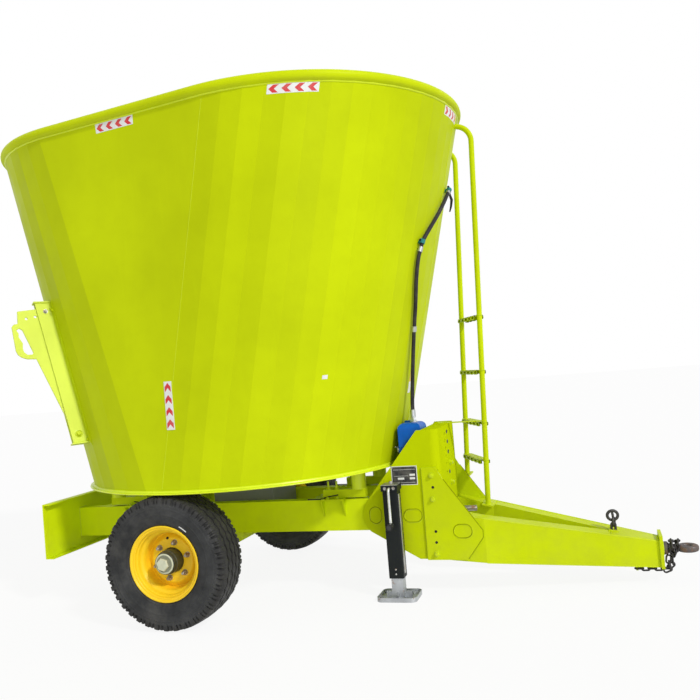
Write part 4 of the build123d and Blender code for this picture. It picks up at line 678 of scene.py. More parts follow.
mesh = bmesh.new()
for y, z in POST_BOLTS:
    bolt(mesh, (at(POST_X), y, z), (1, 0, 0), across=0.024, stud=0.004)
piece("post_front_bolts", "wagon", "green", (mesh, bead_green))

mesh = bmesh.new()
# Painted shade: a thin black oval on the post's front stands for the dark inside each slot.
for z in POST_SLOTS:
    oval = Matrix.Diagonal((1.0, SLOT_HALF_L, SLOT_HALF_H, 1.0)) @ seat_frame((1, 0, 0))
    seats = [(at(POST_X) + out, POST_SLOT_Y, z) for out in (-0.0010, 0.0006)]
    joined_rings(mesh, [Matrix.Translation(seat) @ oval for seat in seats], 28)
piece("post_front_slot_shade", "wagon", "black", (mesh, cap_black))

# Name plate: a thin white plate with a black face, held to the right side plate by four rivets.
# It is blank: plain white bars stand where the real one has its lines of print.
PLATE_LOW, PLATE_HIGH = (at(1.157), 0.656), (at(1.316), 0.770)
PLATE_MARGIN, PLATE_T, FACE_T, BAR_T = 0.004, 0.0012, 0.0004, 0.0003
PLATE_BARS = (  # low and high edge, left and right end, from the plate's lower left corner
    (0.092, 0.0935, 0.012, 0.147), (0.054, 0.0665, 0.112, 0.145), (0.054, 0.0555, 0.014, 0.104),
    (0.033, 0.0455, 0.038, 0.078), (0.033, 0.0455, 0.112, 0.145), (0.014, 0.0155, 0.014, 0.145),
)
RIVET_IN = 0.008

worn_metal, bare, given, result = shared_effect(
    "worn_metal",
    {"Colour": "Color", "Rust": "Color", "Rusty": "Float", "Polish": "Float", "Grain": "Float"},
    {"Colour": "Color", "Metallic": "Float", "Roughness": "Float", "Height": "Float"})
patches = bare.noise(9, 5)
tone = bare.mix(
    bare.span(patches, 0.35, 0.7), bare.tint(given["Colour"], 0.8), bare.tint(given["Colour"], 1.12))
fleck = bare.noise(160, 3, stretch=(1, 1, 0.15))
tone = bare.mix(bare.span(fleck, 0.4, 0.7, 0.0, 0.25), tone, bare.tint(given["Colour"], 0.6))
spread = bare.sum("MULTIPLY", given["Rusty"], 0.3)
rusted = bare.span(
    bare.noise(24, 8, rough=0.7), bare.sum("SUBTRACT", 0.66, spread), bare.sum("SUBTRACT", 0.74, spread))
rust = bare.mix(bare.noise(80, 4), given["Rust"], bare.tint(given["Rust"], 2.1))
bare.put(result["Colour"], bare.mix(bare.sum("MULTIPLY", rusted, 0.85), tone, rust))
bare.put(result["Metallic"], bare.sum("SUBTRACT", 1.0, rusted))
dull = bare.sum("MINIMUM", bare.sum("ADD", given["Polish"], 0.45), 0.95)
bare.put(result["Roughness"], bare.span(bare.sum("ADD", patches, rusted), 0.2, 1.4, given["Polish"], dull))
pits = bare.sum("MULTIPLY", rusted, 0.5)
bare.put(result["Height"], bare.sum("ADD", bare.noise(given["Grain"], 6), pits))


def metal(name, colour, rust=(0.20, 0.085, 0.035), rusty=0.3, polish=0.4, grain=90):
    """Bare or plated metal with brushed grain, dull patches and rust in places."""
    finish = Finish(name)
    made = finish.effect(worn_metal, Colour=colour, Rust=rust, Rusty=rusty, Polish=polish, Grain=grain)
    finish.set(Base_Color=made["Colour"], Metallic=made["Metallic"], Roughness=made["Roughness"])
    finish.bump(made["Height"], 0.22, 0.0012)
    return finish.material


def plate(mesh, outline, depth, edge=0.0):
    """Plate cut to an outline and given its thickness, with its far edges chamfered."""
    face = mesh.faces.new([mesh.verts.new(point) for point in outline])
    geom = bmesh.ops.extrude_face_region(mesh, geom=[face, *face.edges], use_keep_orig=True)["geom"]
    far = [part for part in geom if isinstance(part, bmesh.types.BMVert)]
    bmesh.ops.translate(mesh, verts=far, vec=depth)
    if edge:
        edges = [part for part in geom if isinstance(part, bmesh.types.BMEdge)]
        bmesh.ops.bevel(mesh, geom=edges, offset=edge, segments=1, profile=0.5, affect="EDGES", material=-1)


def upright_plate(mesh, left, low, right, high, y, thick):
    """Plate on the right side of the post, standing out towards the right."""
    plate(mesh, ((left, y, low), (right, y, low), (right, y, high), (left, y, high)), (0, -thick, 0))


bolt_zinc = metal("bolt_zinc", (0.50, 0.50, 0.48), rusty=0.3, polish=0.36)
(left, low), (right, high) = PLATE_LOW, PLATE_HIGH
rim = bmesh.new()
upright_plate(rim, left, low, right, high, -POST_Y, PLATE_T)
face = bmesh.new()
upright_plate(
    face, left + PLATE_MARGIN, low + PLATE_MARGIN, right - PLATE_MARGIN, high - PLATE_MARGIN,
    -POST_Y - PLATE_T, FACE_T)
for bar_low, bar_high, bar_left, bar_right in PLATE_BARS:
    upright_plate(
        rim, left + bar_left, low + bar_low, left + bar_right, low + bar_high,
        -POST_Y - PLATE_T - FACE_T, BAR_T)
rivets = bmesh.new()
for x in (left + RIVET_IN, right - RIVET_IN):
    for z in (low + RIVET_IN, high - RIVET_IN):
        turned(rivets, (x, -POST_Y - 0.0014, z), (0, -1, 0), (
            (0, 0.0035), (0.002, 0.003), (0.0028, 0.0012)), 12)
plate_black = printed("plate_black", (0.015, 0.016, 0.018))
piece("name_plate_blank", "wagon", "black", (rim, white_film), (face, plate_black), (rivets, bolt_zinc))

# Drawbar: two box beams taper from the gusset plates to the hitch plate. They are welded from
# plate, with a bead along each corner, and a thin cover plate closes the gap at their tip.
BEAM_START, BEAM_END, BEAM_BEND = 1.457, 2.655, 1.690
PLATE_START = 2.395


def beam_top(x):
    return 0.488 + (x - BEAM_START) / (BEAM_END - BEAM_START) * (0.244 - 0.488)


def beam_bottom(x):
    return 0.205 + (x - BEAM_START) / (BEAM_END - BEAM_START) * (0.096 - 0.205)


def beam_y(x):
    return 0.300 if x < BEAM_BEND else 0.300 + (x - BEAM_BEND) / (BEAM_END - BEAM_BEND) * (0.076 - 0.300)


coat_nodes(green, "drawbar_beam_right", "drawbar_beam_left", "hitch_plate")
mesh = bmesh.new()
for side in (-1, 1):
    for level in (beam_top, beam_bottom):
        places = [BEAM_BEND + (BEAM_END - BEAM_BEND) * step / 12 for step in range(13)]
        tube(mesh, [(at(x), side * (beam_y(x) - 0.002), level(x)) for x in places], 0.0036, 6)
    tube(mesh, [(at(2.656), side * 0.078, 0.094), (at(2.656), side * 0.078, 0.246)], 0.005, 6)
square = [(at(2.674), y, z) for y, z in ((-0.042, 0.150), (0.042, 0.150), (0.042, 0.226), (-0.042, 0.226))]
tube(mesh, square, 0.001, 5, closed=True)
turns = [2 * pi * step / 28 for step in range(28)]
collar = [(at(2.6745), 0.039 * cos(turn), 0.188 + 0.039 * sin(turn)) for turn in turns]
tube(mesh, collar, 0.005, 8, closed=True)
piece("drawbar_welds", "wagon", "green", (mesh, bead_green))

mesh = bmesh.new()
corners = ((PLATE_START, -1), (2.654, -1), (2.654, 1), (PLATE_START, 1))
outline = [(at(x), way * (beam_y(x) - 0.006), beam_top(x) - 0.002) for x, way in corners]
plate(mesh, outline, (0, 0, 0.0055), 0.0015)
for way in (1, -1):
    edge = beam_top(PLATE_START) + 0.001
    corner = (at(PLATE_START), way * (beam_y(PLATE_START) - 0.008), edge)
    tube(mesh, [corner, (at(PLATE_START), 0, edge)], 0.0035, 6)
piece("drawbar_cover_plate", "wagon", "green", (mesh, green))

# Hitch eye: a ring of forged dark steel on a stepped shank, pushed through the hitch plate's
# square boss and held by a collar. It is greased and dull, with little rust.
EYE_X, EYE_Z = 2.809, 0.188
EYE_SECTION = (
    (-0.018, 0.036), (-0.018, 0.050), (-0.0145, 0.0575), (-0.008, 0.061), (0.008, 0.061), (0.0145, 0.0575),
    (0.018, 0.050), (0.018, 0.036), (0.0155, 0.029), (0.010, 0.0252), (-0.010, 0.0252), (-0.0155, 0.029),
)
EYE_SHANK = (
    (2.671, 0.038), (2.697, 0.038), (2.702, 0.033), (2.710, 0.0245), (2.738, 0.0225), (2.752, 0.0205),
    (2.768, 0.018), (2.776, 0.0165),
)
mesh = bmesh.new()
spun_ring(mesh, (at(EYE_X), 0, EYE_Z), (0, 0, 1), EYE_SECTION, 56)
tube(mesh, [(at(x), 0, EYE_Z) for x, _ in EYE_SHANK], [radius for _, radius in EYE_SHANK], 28)
eye_steel = metal("eye_steel", (0.17, 0.155, 0.15), rust=(0.13, 0.075, 0.05), rusty=0.5, polish=0.5)
coat_nodes(eye_steel, "hitch_eye")
piece("hitch_eye_forged", "wagon", "dark_steel", (mesh, eye_steel), replaces=["hitch_eye"])

# Safety chain: welded round links of dark steel wire. Two loops of it lie round the eye's shank,
# one end hangs below them, and the other runs back under the drawbar to its anchor.
LINK_HALF, LINK_BEND, WIRE = 0.0108, 0.0125, 0.0053
LOOP_LINKS = 7
HUNG_LINKS = ((2.698, 0.128, 80, True), (2.703, 0.095, 100, False), (2.690, 0.068, 20, True))
BACK_LINKS = (  # X, Z, tilt of the link, standing or lying
    (2.722, 0.116, 90, False), (2.710, 0.085, 40, True), (2.678, 0.070, 0, False), (2.642, 0.070, 0, True),
    (2.606, 0.070, 0, False), (2.570, 0.070, 0, True), (2.534, 0.070, 0, False),
)


def link(mesh, middle, run, spread, wire=WIRE, sides=10, scale=1.0):
    """One link of wire, long along its run and wide along its spread."""
    path = []
    for number in range(20):
        turn = 2 * pi * number / 20
        along = math.copysign(LINK_HALF, cos(turn)) + LINK_BEND * cos(turn)
        path.append(Vector(middle) + (run * along + spread * (LINK_BEND * sin(turn))) * scale)
    tube(mesh, path, wire, sides, closed=True)


chain_steel = metal("chain_steel", (0.075, 0.072, 0.072), rusty=0.2, polish=0.42)
coat_nodes(chain_steel, "safety_chain")
mesh = bmesh.new()
ahead = Vector((1, 0, 0))
for number in range(LOOP_LINKS):
    turn = radians(-90 + 360 * (number + 0.5) / LOOP_LINKS)
    radial = Vector((0, cos(turn), sin(turn)))
    middle = Vector((at(2.722), 0, EYE_Z)) + radial * 0.040
    link(mesh, middle, Vector((0, -sin(turn), cos(turn))), ahead if number % 2 else radial)
for number in range(LOOP_LINKS):
    turn = radians(-90 + 360 * number / LOOP_LINKS)
    radial = Vector((0.30 * sin(turn), cos(turn), sin(turn))).normalized()
    middle = Vector((at(2.7445), 0, EYE_Z)) + radial * 0.0405
    run = Vector((0.30 * cos(turn), -sin(turn), cos(turn))).normalized()
    link(mesh, middle, run, ahead if number % 2 else radial)
for x, z, tilt, upright in HUNG_LINKS:
    run = Vector((cos(radians(tilt)), 0.1, sin(radians(tilt)))).normalized()
    spread = run.cross(Vector((0, 1, 0) if upright else (0.4, 0, 1))).normalized()
    link(mesh, (at(x), -0.022, z), run, spread)
for x, z, tilt, upright in BACK_LINKS:
    run = Vector((cos(radians(tilt)), 0, sin(radians(tilt))))
    link(mesh, (at(x), 0, z), run, Vector((-run.z, 0, run.x) if upright else (0, 1, 0)))
piece("safety_chain_links", "wagon", "dark_steel", (mesh, chain_steel), replaces=["safety_chain"])

# Rest for the drive shaft: two heavy links stand on a welded green foot on the drawbar and carry
# a ring of bent round bar, with a short bar across it.
REST_X = at(2.410)
CORNERS = ((-1, -1), (1, -1), (1, 1), (-1, 1))
mesh = bmesh.new()
foot = bmesh.new()
slope = Vector((BEAM_END - BEAM_START, 0, 0.244 - 0.488)).normalized()
square_up = Vector((-slope.z, 0, slope.x))
middle = Vector((REST_X, 0, beam_top(2.410)))
outline = [middle + slope * a * 0.030 + Vector((0, b * 0.035, 0)) for a, b in CORNERS]
plate(foot, outline, square_up * 0.007, 0.002)
for z, spread, lean in ((0.316, (0.9, 0.44, 0), 0.0), (0.346, (0.35, 0.94, 0), 0.004)):
    link(mesh, (REST_X + lean, 0, z), Vector((0, 0, 1)), Vector(spread).normalized(), 0.0078, 12, 1.02)
hoop = []
for step in range(36):
    turn = 2 * pi * step / 36
    hoop.append((REST_X + 0.030 * cos(turn), 0.006 * cos(turn), 0.385 + 0.0275 * sin(turn)))
tube(mesh, hoop, 0.0088, 12, closed=True)
tube(mesh, [(REST_X + 0.004, 0, 0.3555), (REST_X - 0.002, 0, 0.4150)], 0.0075, 12)
coat_nodes(chain_steel, "shaft_rest")
piece("shaft_rest_ring", "wagon", "dark_steel", (mesh, chain_steel), (foot, green), replaces=["shaft_rest"])

# Jack: a square black tube bolted to the right side, with a zinc plated leg that a crank winds
# out of it. Its foot plate is bolted and welded to the leg, and a black knob is on the crank.
JACK_X, JACK_Y = at(1.165), -0.367


def crank_finish():
    """Bright zinc rod with a black knob at its low end."""
    finish = Finish("crank_zinc")
    knob = finish.sum("LESS_THAN", finish.part(2), 0.4585)
    rod = finish.mix(finish.span(finish.noise(14, 5), 0.3, 0.7), (0.62, 0.63, 0.64), (0.86, 0.87, 0.88))
    finish.set(
        Base_Color=finish.mix(knob, rod, (0.03, 0.032, 0.034)),
        Metallic=finish.sum("SUBTRACT", 0.75, finish.sum("MULTIPLY", knob, 0.75)),
        Roughness=finish.span(finish.noise(30, 5), 0.3, 0.7, 0.28, 0.5),
    )
    finish.bump(finish.noise(200, 5), 0.15, 0.001)
    return finish.material


def block(mesh, centre, size, edge=0.002):
    """Solid block with rounded edges."""
    made = bmesh.ops.create_cube(mesh, size=1.0)["verts"]
    bmesh.ops.scale(mesh, verts=made, vec=size)
    bmesh.ops.translate(mesh, verts=made, vec=centre)
    edges = list({edge for vert in made for edge in vert.link_edges})
    bmesh.ops.bevel(mesh, geom=edges, offset=edge, segments=2, profile=0.5, affect="EDGES", material=-1)


leg_zinc = metal("leg_zinc", (0.54, 0.56, 0.58), rusty=0.22, polish=0.42)
black = paint("black_paint", (0.014, 0.017, 0.018), dust=(0.10, 0.10, 0.09), worn=1.0, low_dust=0.3)
coat_nodes(leg_zinc, "jack_leg")
coat_nodes(black, "jack_tube")
coat_nodes(crank_finish(), "jack_crank")
mesh = bmesh.new()
for x in (-0.026, 0.026):
    bolt(mesh, (JACK_X + x, JACK_Y - 0.051, 0.657), (0, -1, 0), across=0.013)
bolt(mesh, (JACK_X, JACK_Y, 0.678), (0, 0, 1), across=0.019)
for z in (0.150, 0.178):
    turned(mesh, (JACK_X, JACK_Y - 0.045, z), (0, -1, 0), (
        (-0.001, 0.0055), (0.002, 0.0055), (0.004, 0.003), (0.0045, 0.001)), 14)
block(mesh, (JACK_X + 0.0475, JACK_Y - 0.012, 0.385), (0.006, 0.030, 0.470))
plate(mesh, [(JACK_X + 0.049 * a, JACK_Y + 0.049 * b, 0.674) for a, b in CORNERS], (0, 0, 0.004), 0.0015)
piece("jack_fixings", "wagon", "zinc", (mesh, bolt_zinc))

mesh = bmesh.new()
knob = []
for step in range(28):
    turn = 2 * pi * step / 28
    knob.append((JACK_X + 0.018 * cos(turn), JACK_Y - 0.121, 0.440 + 0.018 * sin(turn)))
tube(mesh, knob, 0.0035, 10, closed=True)
block(mesh, (JACK_X - 0.0475, JACK_Y, 0.385), (0.005, 0.040, 0.500))
piece("jack_knob", "wagon", "black", (mesh, cap_black))

mesh = bmesh.new()
for a, b in CORNERS:
    bolt(mesh, (JACK_X + 0.075 * a, JACK_Y + 0.060 * b, 0.008), (0, 0, 1), across=0.012)
tube(mesh, [(JACK_X + 0.036 * a, JACK_Y + 0.036 * b, 0.0095) for a, b in CORNERS], 0.004, 6, closed=True)
piece("jack_foot_fixings", "jack_leg", "zinc", (mesh, leg_zinc))

# Load cells: short steel bars between the rails and the tub's feet, bolted through painted
# brackets with long studs. A thin black lead runs from each one along its rail.
CELL_PLACES = ((0.700, 1), (-0.549, -1))


def rounded_path(corners, radius, steps=6):
    """A path through corners, each of them rounded by an arc."""
    corners = [Vector(corner) for corner in corners]
    path = [corners[0]]
    for before, corner, after in zip(corners, corners[1:], corners[2:]):
        back, on = (before - corner).normalized(), (after - corner).normalized()
        angle = back.angle(on)
        room = min((before - corner).length, (after - corner).length) * 0.49
        cut = min(radius / math.tan(angle / 2), room)
        centre = corner + (back + on).normalized() * (cut / cos(angle / 2))
        spoke, last = corner + back * cut - centre, corner + on * cut - centre
        for step in range(steps + 1):
            path.append(centre + spoke.slerp(last, step / steps, spoke).normalized() * spoke.length)
    path.append(corners[-1])
    return path


hose_black = plastic("hose_rubber", (0.030, 0.028, 0.034), rough=0.5, grain=500)
coat_nodes(green, "load_cells", "load_cell_brackets")
mesh = bmesh.new()
leads = bmesh.new()
for cell, way in CELL_PLACES:
    for side in (-1, 1):
        for run in (0.030, 0.085):
            bolt(mesh, (at(cell + way * run), side * 0.250, 0.638), (0, 0, 1), across=0.022, stud=0.034)
        for run in (0.040, 0.105):
            bolt(mesh, (at(cell + way * run), side * 0.312, 0.588), (0, 0, 1), across=0.016)
        x = at(cell + way * 0.10)
        tube(leads, rounded_path((
            (x, side * 0.276, 0.606), (x - way * 0.05, side * 0.286, 0.600),
            (x - way * 0.12, side * 0.2845, 0.5835), (x - way * 0.20, side * 0.2845, 0.5835),
        ), 0.02), 0.0035, 8)
piece("load_cell_bolts", "wagon", "green", (mesh, bead_green))
piece("load_cell_leads", "wagon", "hose", (leads, hose_black))

# Gearbox and input shaft: a closed casting under the tub's floor, painted grey and bolted to it.
# The input shaft of plain worn steel runs forward from its flange through a flanged bearing in
# the post, and ends in six splines.
SHAFT_Z = 0.450
TUB_MIDDLE = 0.122
SHAFT_LENGTH = (  # height along the shaft from its inner end, radius
    (0.0, 0.0285), (0.0015, 0.030), (1.160, 0.030), (1.1677, 0.0255),
)
SPLINE_STARTS = ((1.4995, 1.0), (1.5080, 1.0), (1.6080, 1.0), (1.6100, 0.93))
SPLINE_TOOTH = ((0.0, 0.0148), (0.34, 0.0148), (0.40, 0.0175), (0.94, 0.0175))

casting_grey = paint("gearbox_paint", (0.20, 0.21, 0.22), worn=1.5, gloss=0.5)
worn_steel = metal("worn_steel", (0.42, 0.40, 0.37), rusty=0.45, polish=0.36)
coat_nodes(casting_grey, "gearbox")
coat_nodes(green, "pto_bearing")
coat_nodes(worn_steel, "pto_shaft")
mesh = bmesh.new()
for x in (-0.17, 0.0, 0.17):
    for side in (-1, 1):
        bolt(mesh, (at(TUB_MIDDLE) + x, side * 0.200, 0.74), (0, side, 0), across=0.024)
for z in (0.42, 0.48):
    for y in (-0.08, 0.08):
        bolt(mesh, (at(TUB_MIDDLE) + 0.210, y, z), (1, 0, 0), across=0.024)
for number in range(8):
    turn = 2 * pi * number / 8
    bolt(mesh, (at(0.344), 0.062 * cos(turn), SHAFT_Z + 0.062 * sin(turn)), (1, 0, 0), across=0.013)
for y in (-0.180, -0.090, 0.090, 0.180):
    bolt(mesh, (at(1.402), y, SHAFT_Z + (0.022 if abs(y) < 0.1 else 0.0)), (1, 0, 0), across=0.019)
piece("gearbox_bolts", "wagon", "zinc", (mesh, bolt_zinc))

mesh = bmesh.new()
spun_ring(mesh, (at(0.332), 0, SHAFT_Z), (1, 0, 0), (
    (-0.001, 0.034), (-0.001, 0.078), (0.010, 0.078), (0.013, 0.075), (0.013, 0.050), (0.022, 0.046),
    (0.022, 0.034)), 40)
piece("gearbox_flange", "wagon", "grey", (mesh, casting_grey))

mesh = bmesh.new()
for x in (1.388, 1.402):
    spun_ring(mesh, (at(x), 0, SHAFT_Z), (1, 0, 0), (
        (-0.002, 0.052), (-0.002, 0.0555), (0.002, 0.0555), (0.002, 0.052)), 36)
piece("bearing_rings", "wagon", "green", (mesh, bead_green))

mesh = bmesh.new()
turned(mesh, (at(0.3323), 0, SHAFT_Z), (1, 0, 0), SHAFT_LENGTH, 40)
row = None
for x, shrink in SPLINE_STARTS:
    spots = []
    for tooth in range(6):
        for share, radius in SPLINE_TOOTH:
            turn = 2 * pi * (tooth + share) / 6
            spots.append((at(x), radius * shrink * cos(turn), SHAFT_Z + radius * shrink * sin(turn)))
    row = next_row(mesh, row, spots) if row else first_row(mesh, spots)
    if x in (SPLINE_STARTS[0][0], SPLINE_STARTS[-1][0]):
        bmesh.ops.contextual_create(mesh, geom=row)
piece("pto_shaft_splined", "input_shaft", "worn_steel", (mesh, worn_steel), replaces=["pto_shaft"])

# Tub: an egg-shaped shell of sheet steel, folded into 52 flats between a wide front arc and a
# narrower rear one that both lean outwards. It is welded to a round floor plate and to a rolled
# tube round its top. Each flat has painted shade of its own and a few carry a painted glare, and
# the floor plate's lip and the weld rings have a painted highlight.
TUB_LOW, TUB_HIGH = 0.774, 2.930
FOOT_R = 1.032
FRONT_TOP_X, FRONT_TOP_R = 0.593, 1.089
REAR_TOP_X, REAR_TOP_R = -0.531, 0.914
FRONT_FACETS, REAR_FACETS, FLAT_HALF = 30, 20, 3
FACETS = FRONT_FACETS + REAR_FACETS + 2
FLAT = 90 + degrees(asin((FRONT_TOP_R - REAR_TOP_R) / (FRONT_TOP_X - REAR_TOP_X)))
SEAM_FOLDS = (0, 15, 30, 41)


def tub_arcs(z):
    """Middle and radius of the front arc and of the rear arc at a height."""
    share = (z - TUB_LOW) / (TUB_HIGH - TUB_LOW)
    return (
        at(TUB_MIDDLE + share * (FRONT_TOP_X - TUB_MIDDLE)), FOOT_R + share * (FRONT_TOP_R - FOOT_R),
        at(TUB_MIDDLE + share * (REAR_TOP_X - TUB_MIDDLE)), FOOT_R + share * (REAR_TOP_R - FOOT_R),
    )


def wall(angle, z, out=0.0):
    """Point on the round wall that the flats follow."""
    front_c, front_r, rear_c, rear_r = tub_arcs(z)
    middle, radius = (front_c, front_r) if abs(angle) < FLAT else (rear_c, rear_r)
    turn = radians(angle)
    return Vector((middle + (radius + out) * cos(turn), (radius + out) * sin(turn), z))


def fold(index, z):
    """Fold line of the skin: 0 to 30 on the front arc, 31 to 51 on the rear one."""
    front_c, front_r, rear_c, rear_r = tub_arcs(z)
    index %= FACETS
    if index <= FRONT_FACETS:
        turn = radians(-(FLAT - FLAT_HALF) + 2 * (FLAT - FLAT_HALF) * index / FRONT_FACETS)
        return Vector((front_c + front_r * cos(turn), front_r * sin(turn), z))
    end = FLAT + FLAT_HALF
    turn = radians(end + (360 - 2 * end) * (index - FRONT_FACETS - 1) / REAR_FACETS)
    return Vector((rear_c + rear_r * cos(turn), rear_r * sin(turn), z))


def flat_at(x, y, z):
    """Running number of the flat, with its share, where the spoke through x and y leaves the skin."""
    front_c, _, rear_c, _ = tub_arcs(z)
    base = Vector((front_c if x > front_c else (front_c + rear_c) / 2, 0))
    spoke = Vector((x, y)) - base
    for index in range(FACETS):
        low, high = fold(index, z).xy - base, fold(index + 1, z).xy - base
        past_low = spoke.x * low.y - spoke.y * low.x
        past_high = spoke.x * high.y - spoke.y * high.x
        if past_low <= 0 < past_high and low.dot(spoke) > 0:
            return index + past_low / (past_low - past_high)
    return 0.0


def skin(index, z, out=0.0):
    """Point on a flat, moved outwards."""
    whole = math.floor(index)
    low = fold(whole, z)
    run = fold(whole + 1, z) - low
    return low + run * (index - whole) + Vector((run.y, -run.x, 0)).normalized() * out


def painted_flat_light(finish, tone, colour):
    """Painted shade and glare: every flat gets its own depth of colour by the way it faces, and some of them
    a slow painted glare.
    """
    turn = finish.sum("ARCTAN2", finish.facing(1, "True Normal"), finish.facing(0, "True Normal"))
    cell = finish.node("ShaderNodeTexWhiteNoise", noise_dimensions="1D")
    finish.put(cell.inputs["W"], finish.sum("FLOOR", finish.sum("MULTIPLY", turn, 8.955)))
    # Painted shade: each flat is a little darker or lighter by the way it faces.
    depth = finish.mix(cell.outputs["Value"], (0.91, 0.91, 0.91), (1.0, 1.0, 1.0))
    tone = finish.mix(1.0, tone, depth, blend="MULTIPLY")
    # Painted glare: a slow brighter patch on some of the flats.
    painted_glare = finish.span(finish.noise(0.9, 2, stretch=(1.6, 1.6, 0.35)), 0.5, 0.66, 0.0, 0.16)
    return finish.mix(finish.sum("MULTIPLY", painted_glare, cell.outputs["Value"]), tone, shade(colour, 1.3))


tub_green = paint("tub_paint", shade(GREEN, 0.955), worn=0.2, low_dust=0.4, sheen=0.05, painted_light=painted_flat_light)
# Painted highlight: the lip and the tub's weld rings take the green made brighter and glossier.
lip_lit_green = paint("lip_highlight_paint", (0.72, 0.86, 0.02), worn=0.1, gloss=0.3, low_dust=0.0, sheen=0.35)
coat_nodes(tub_green, "tub_shell")
coat_nodes(lip_lit_green, "tub_floor")
coat_nodes(green, "tub_rim")
mesh = bmesh.new()
for z, lift, radius in ((TUB_LOW + 0.003, 0.002, 0.009), (TUB_HIGH - 0.001, -0.001, 0.007)):
    path = [skin(index + share, z, lift) for index in range(FACETS) for share in (0.0, 0.33, 0.67)]
    tube(mesh, path, radius, 8, closed=True)
spun_ring(mesh, (at(TUB_MIDDLE), 0, TUB_LOW - 0.004), (0, 0, 1), (
    (-0.004, 1.052), (-0.0045, 1.0565), (-0.001, 1.0595), (0.002, 1.0585), (0.0045, 1.054),
    (0.004, 1.050)), 160)
piece("tub_weld_rings", "wagon", "green", (mesh, lip_lit_green))

mesh = bmesh.new()
for index in SEAM_FOLDS:
    low, high = TUB_LOW + 0.02, TUB_HIGH - 0.02
    tube(mesh, [skin(index + 0.001, low + (high - low) * step / 10, 0.0005) for step in range(11)], 0.0016, 6)
piece("tub_weld_seams", "wagon", "green", (mesh, bead_green))

# Reflecting strips and labels: white film with four red chevrons, cut flat and stuck along the
# tub's top edge and, upright, low on its right side. A small white mark and one label without
# print, half white and half yellow, are stuck on its front.
BAND_BACK, BAND_LIFT, UPRIGHT_LIFT, MARK_LIFT, LABEL_LIFT = -0.002, 0.0012, 0.0030, 0.0005, 0.0012
UPRIGHT_Y = -1.039
UPRIGHT_COLUMNS, UPRIGHT_ROWS = 8, 12
CHEVRONS = 4
CHEVRON_START, CHEVRON_WIDE, CHEVRON_LEAN = 0.12, 0.42, 0.34  # shares of a chevron's pitch
CHEVRON_HALF = 0.4  # height of each half, as a share of the band


def flat_sheet(columns=1, rows=1, lift=0.0, back=None):
    """Sheet from 0 to 1 both ways, or a thin slab when it is given a back."""
    mesh = bmesh.new()
    bmesh.ops.create_grid(mesh, x_segments=columns, y_segments=rows, size=0.5)
    bmesh.ops.translate(mesh, verts=mesh.verts, vec=(0.5, 0.5, lift))
    if back is not None:
        flat = mesh.faces[:] + mesh.edges[:]
        geom = bmesh.ops.extrude_face_region(mesh, geom=flat, use_keep_orig=True)["geom"]
        far = [part for part in geom if isinstance(part, bmesh.types.BMVert)]
        bmesh.ops.translate(mesh, verts=far, vec=(0, 0, back - lift))
    return mesh


def lay(mesh, spot):
    """Lays a flat sheet on the tub: its x, y and z say where along, where across and how far out."""
    for vert in mesh.verts:
        vert.co = spot(*vert.co)
    return mesh


def strip(name, start, end, low, high, back=False, upright=False):
    """White band with red chevrons, between two flats or, upright, between two places along X."""
    lift = UPRIGHT_LIFT if upright else BAND_LIFT

    def on_tub(along, across, out):
        if upright:
            z = low + (high - low) * along
            return skin(flat_at(start + (end - start) * across, UPRIGHT_Y, z), z, out)
        return skin(start + (end - start) * along, low + (high - low) * across, out)

    if upright:
        band = flat_sheet(UPRIGHT_COLUMNS, UPRIGHT_ROWS, lift, BAND_BACK)
    else:
        band = flat_sheet(1, 1, lift, BAND_BACK)
        for index in range(math.floor(start) + 1, math.ceil(end)):
            bmesh.ops.bisect_plane(
                band, geom=band.verts[:] + band.edges[:] + band.faces[:],
                plane_co=((index - start) / (end - start), 0, 0), plane_no=(1, 0, 0))
    red = bmesh.new()
    pitch = 1.0 / CHEVRONS
    lean = CHEVRON_LEAN * pitch
    for number in range(CHEVRONS):
        for foot, way in ((0.1, -1), (0.5, 1)):
            made = bmesh.ops.create_grid(red, x_segments=2, y_segments=4, size=0.5)["verts"]
            middle = (number + CHEVRON_START + CHEVRON_WIDE / 2) * pitch + lean / 2
            slant = Matrix((
                (CHEVRON_WIDE * pitch, -way * lean if back else way * lean, 0, middle),
                (0, CHEVRON_HALF, 0, foot + CHEVRON_HALF / 2), (0, 0, 1, lift + MARK_LIFT), (0, 0, 0, 1)))
            bmesh.ops.transform(red, verts=made, matrix=slant)
    piece(name, "wagon", "green", (lay(band, on_tub), white_film), (lay(red, on_tub), red_film))


def strip_between(name, start, end, low, high, back=False):
    """Strip near the tub's top edge between two points given by X and Y."""
    ends = [flat_at(at(x), y, 2.90) for x, y in (start, end)]
    strip(name, ends[0], ends[1], low, high, back)


def label(index, half_wide, low, high):
    """Blank label on the skin, as wide as a share of its flat."""
    return lay(flat_sheet(lift=LABEL_LIFT), lambda along, across, out: skin(
        index + half_wide * (2 * along - 1), low + (high - low) * across, out))


red_film = printed("red_film", (0.66, 0.02, 0.03))
strip_between("reflector_side_front", (0.850, -1.057), (1.111, -0.954), 2.872, 2.924)
strip_between("reflector_side_rear", (-0.2725, -0.968), (0.003, -1.010), 2.868, 2.922)
strip_between("reflector_front", (1.660, -0.205), (1.679, 0.055), 2.868, 2.922, back=True)
strip("reflector_side_low", at(0.086), at(0.137), 1.125, 1.395, back=True, upright=True)
strip_between("reflector_left_rear", (0.003, 1.010), (-0.2725, 0.968), 2.868, 2.922)
piece("tub_mark_small", "wagon", "green", (
    label(flat_at(at(0.948), -0.778, 1.347), 0.14, 1.336, 1.358), white_film))
index = flat_at(at(1.27), -0.084, 1.26)
piece("tub_label_blank", "wagon", "green", (label(index, 0.22, 1.20, 1.27), white_film),
      (label(index, 0.22, 1.27, 1.34), printed("yellow_film", (0.85, 0.60, 0.03))))

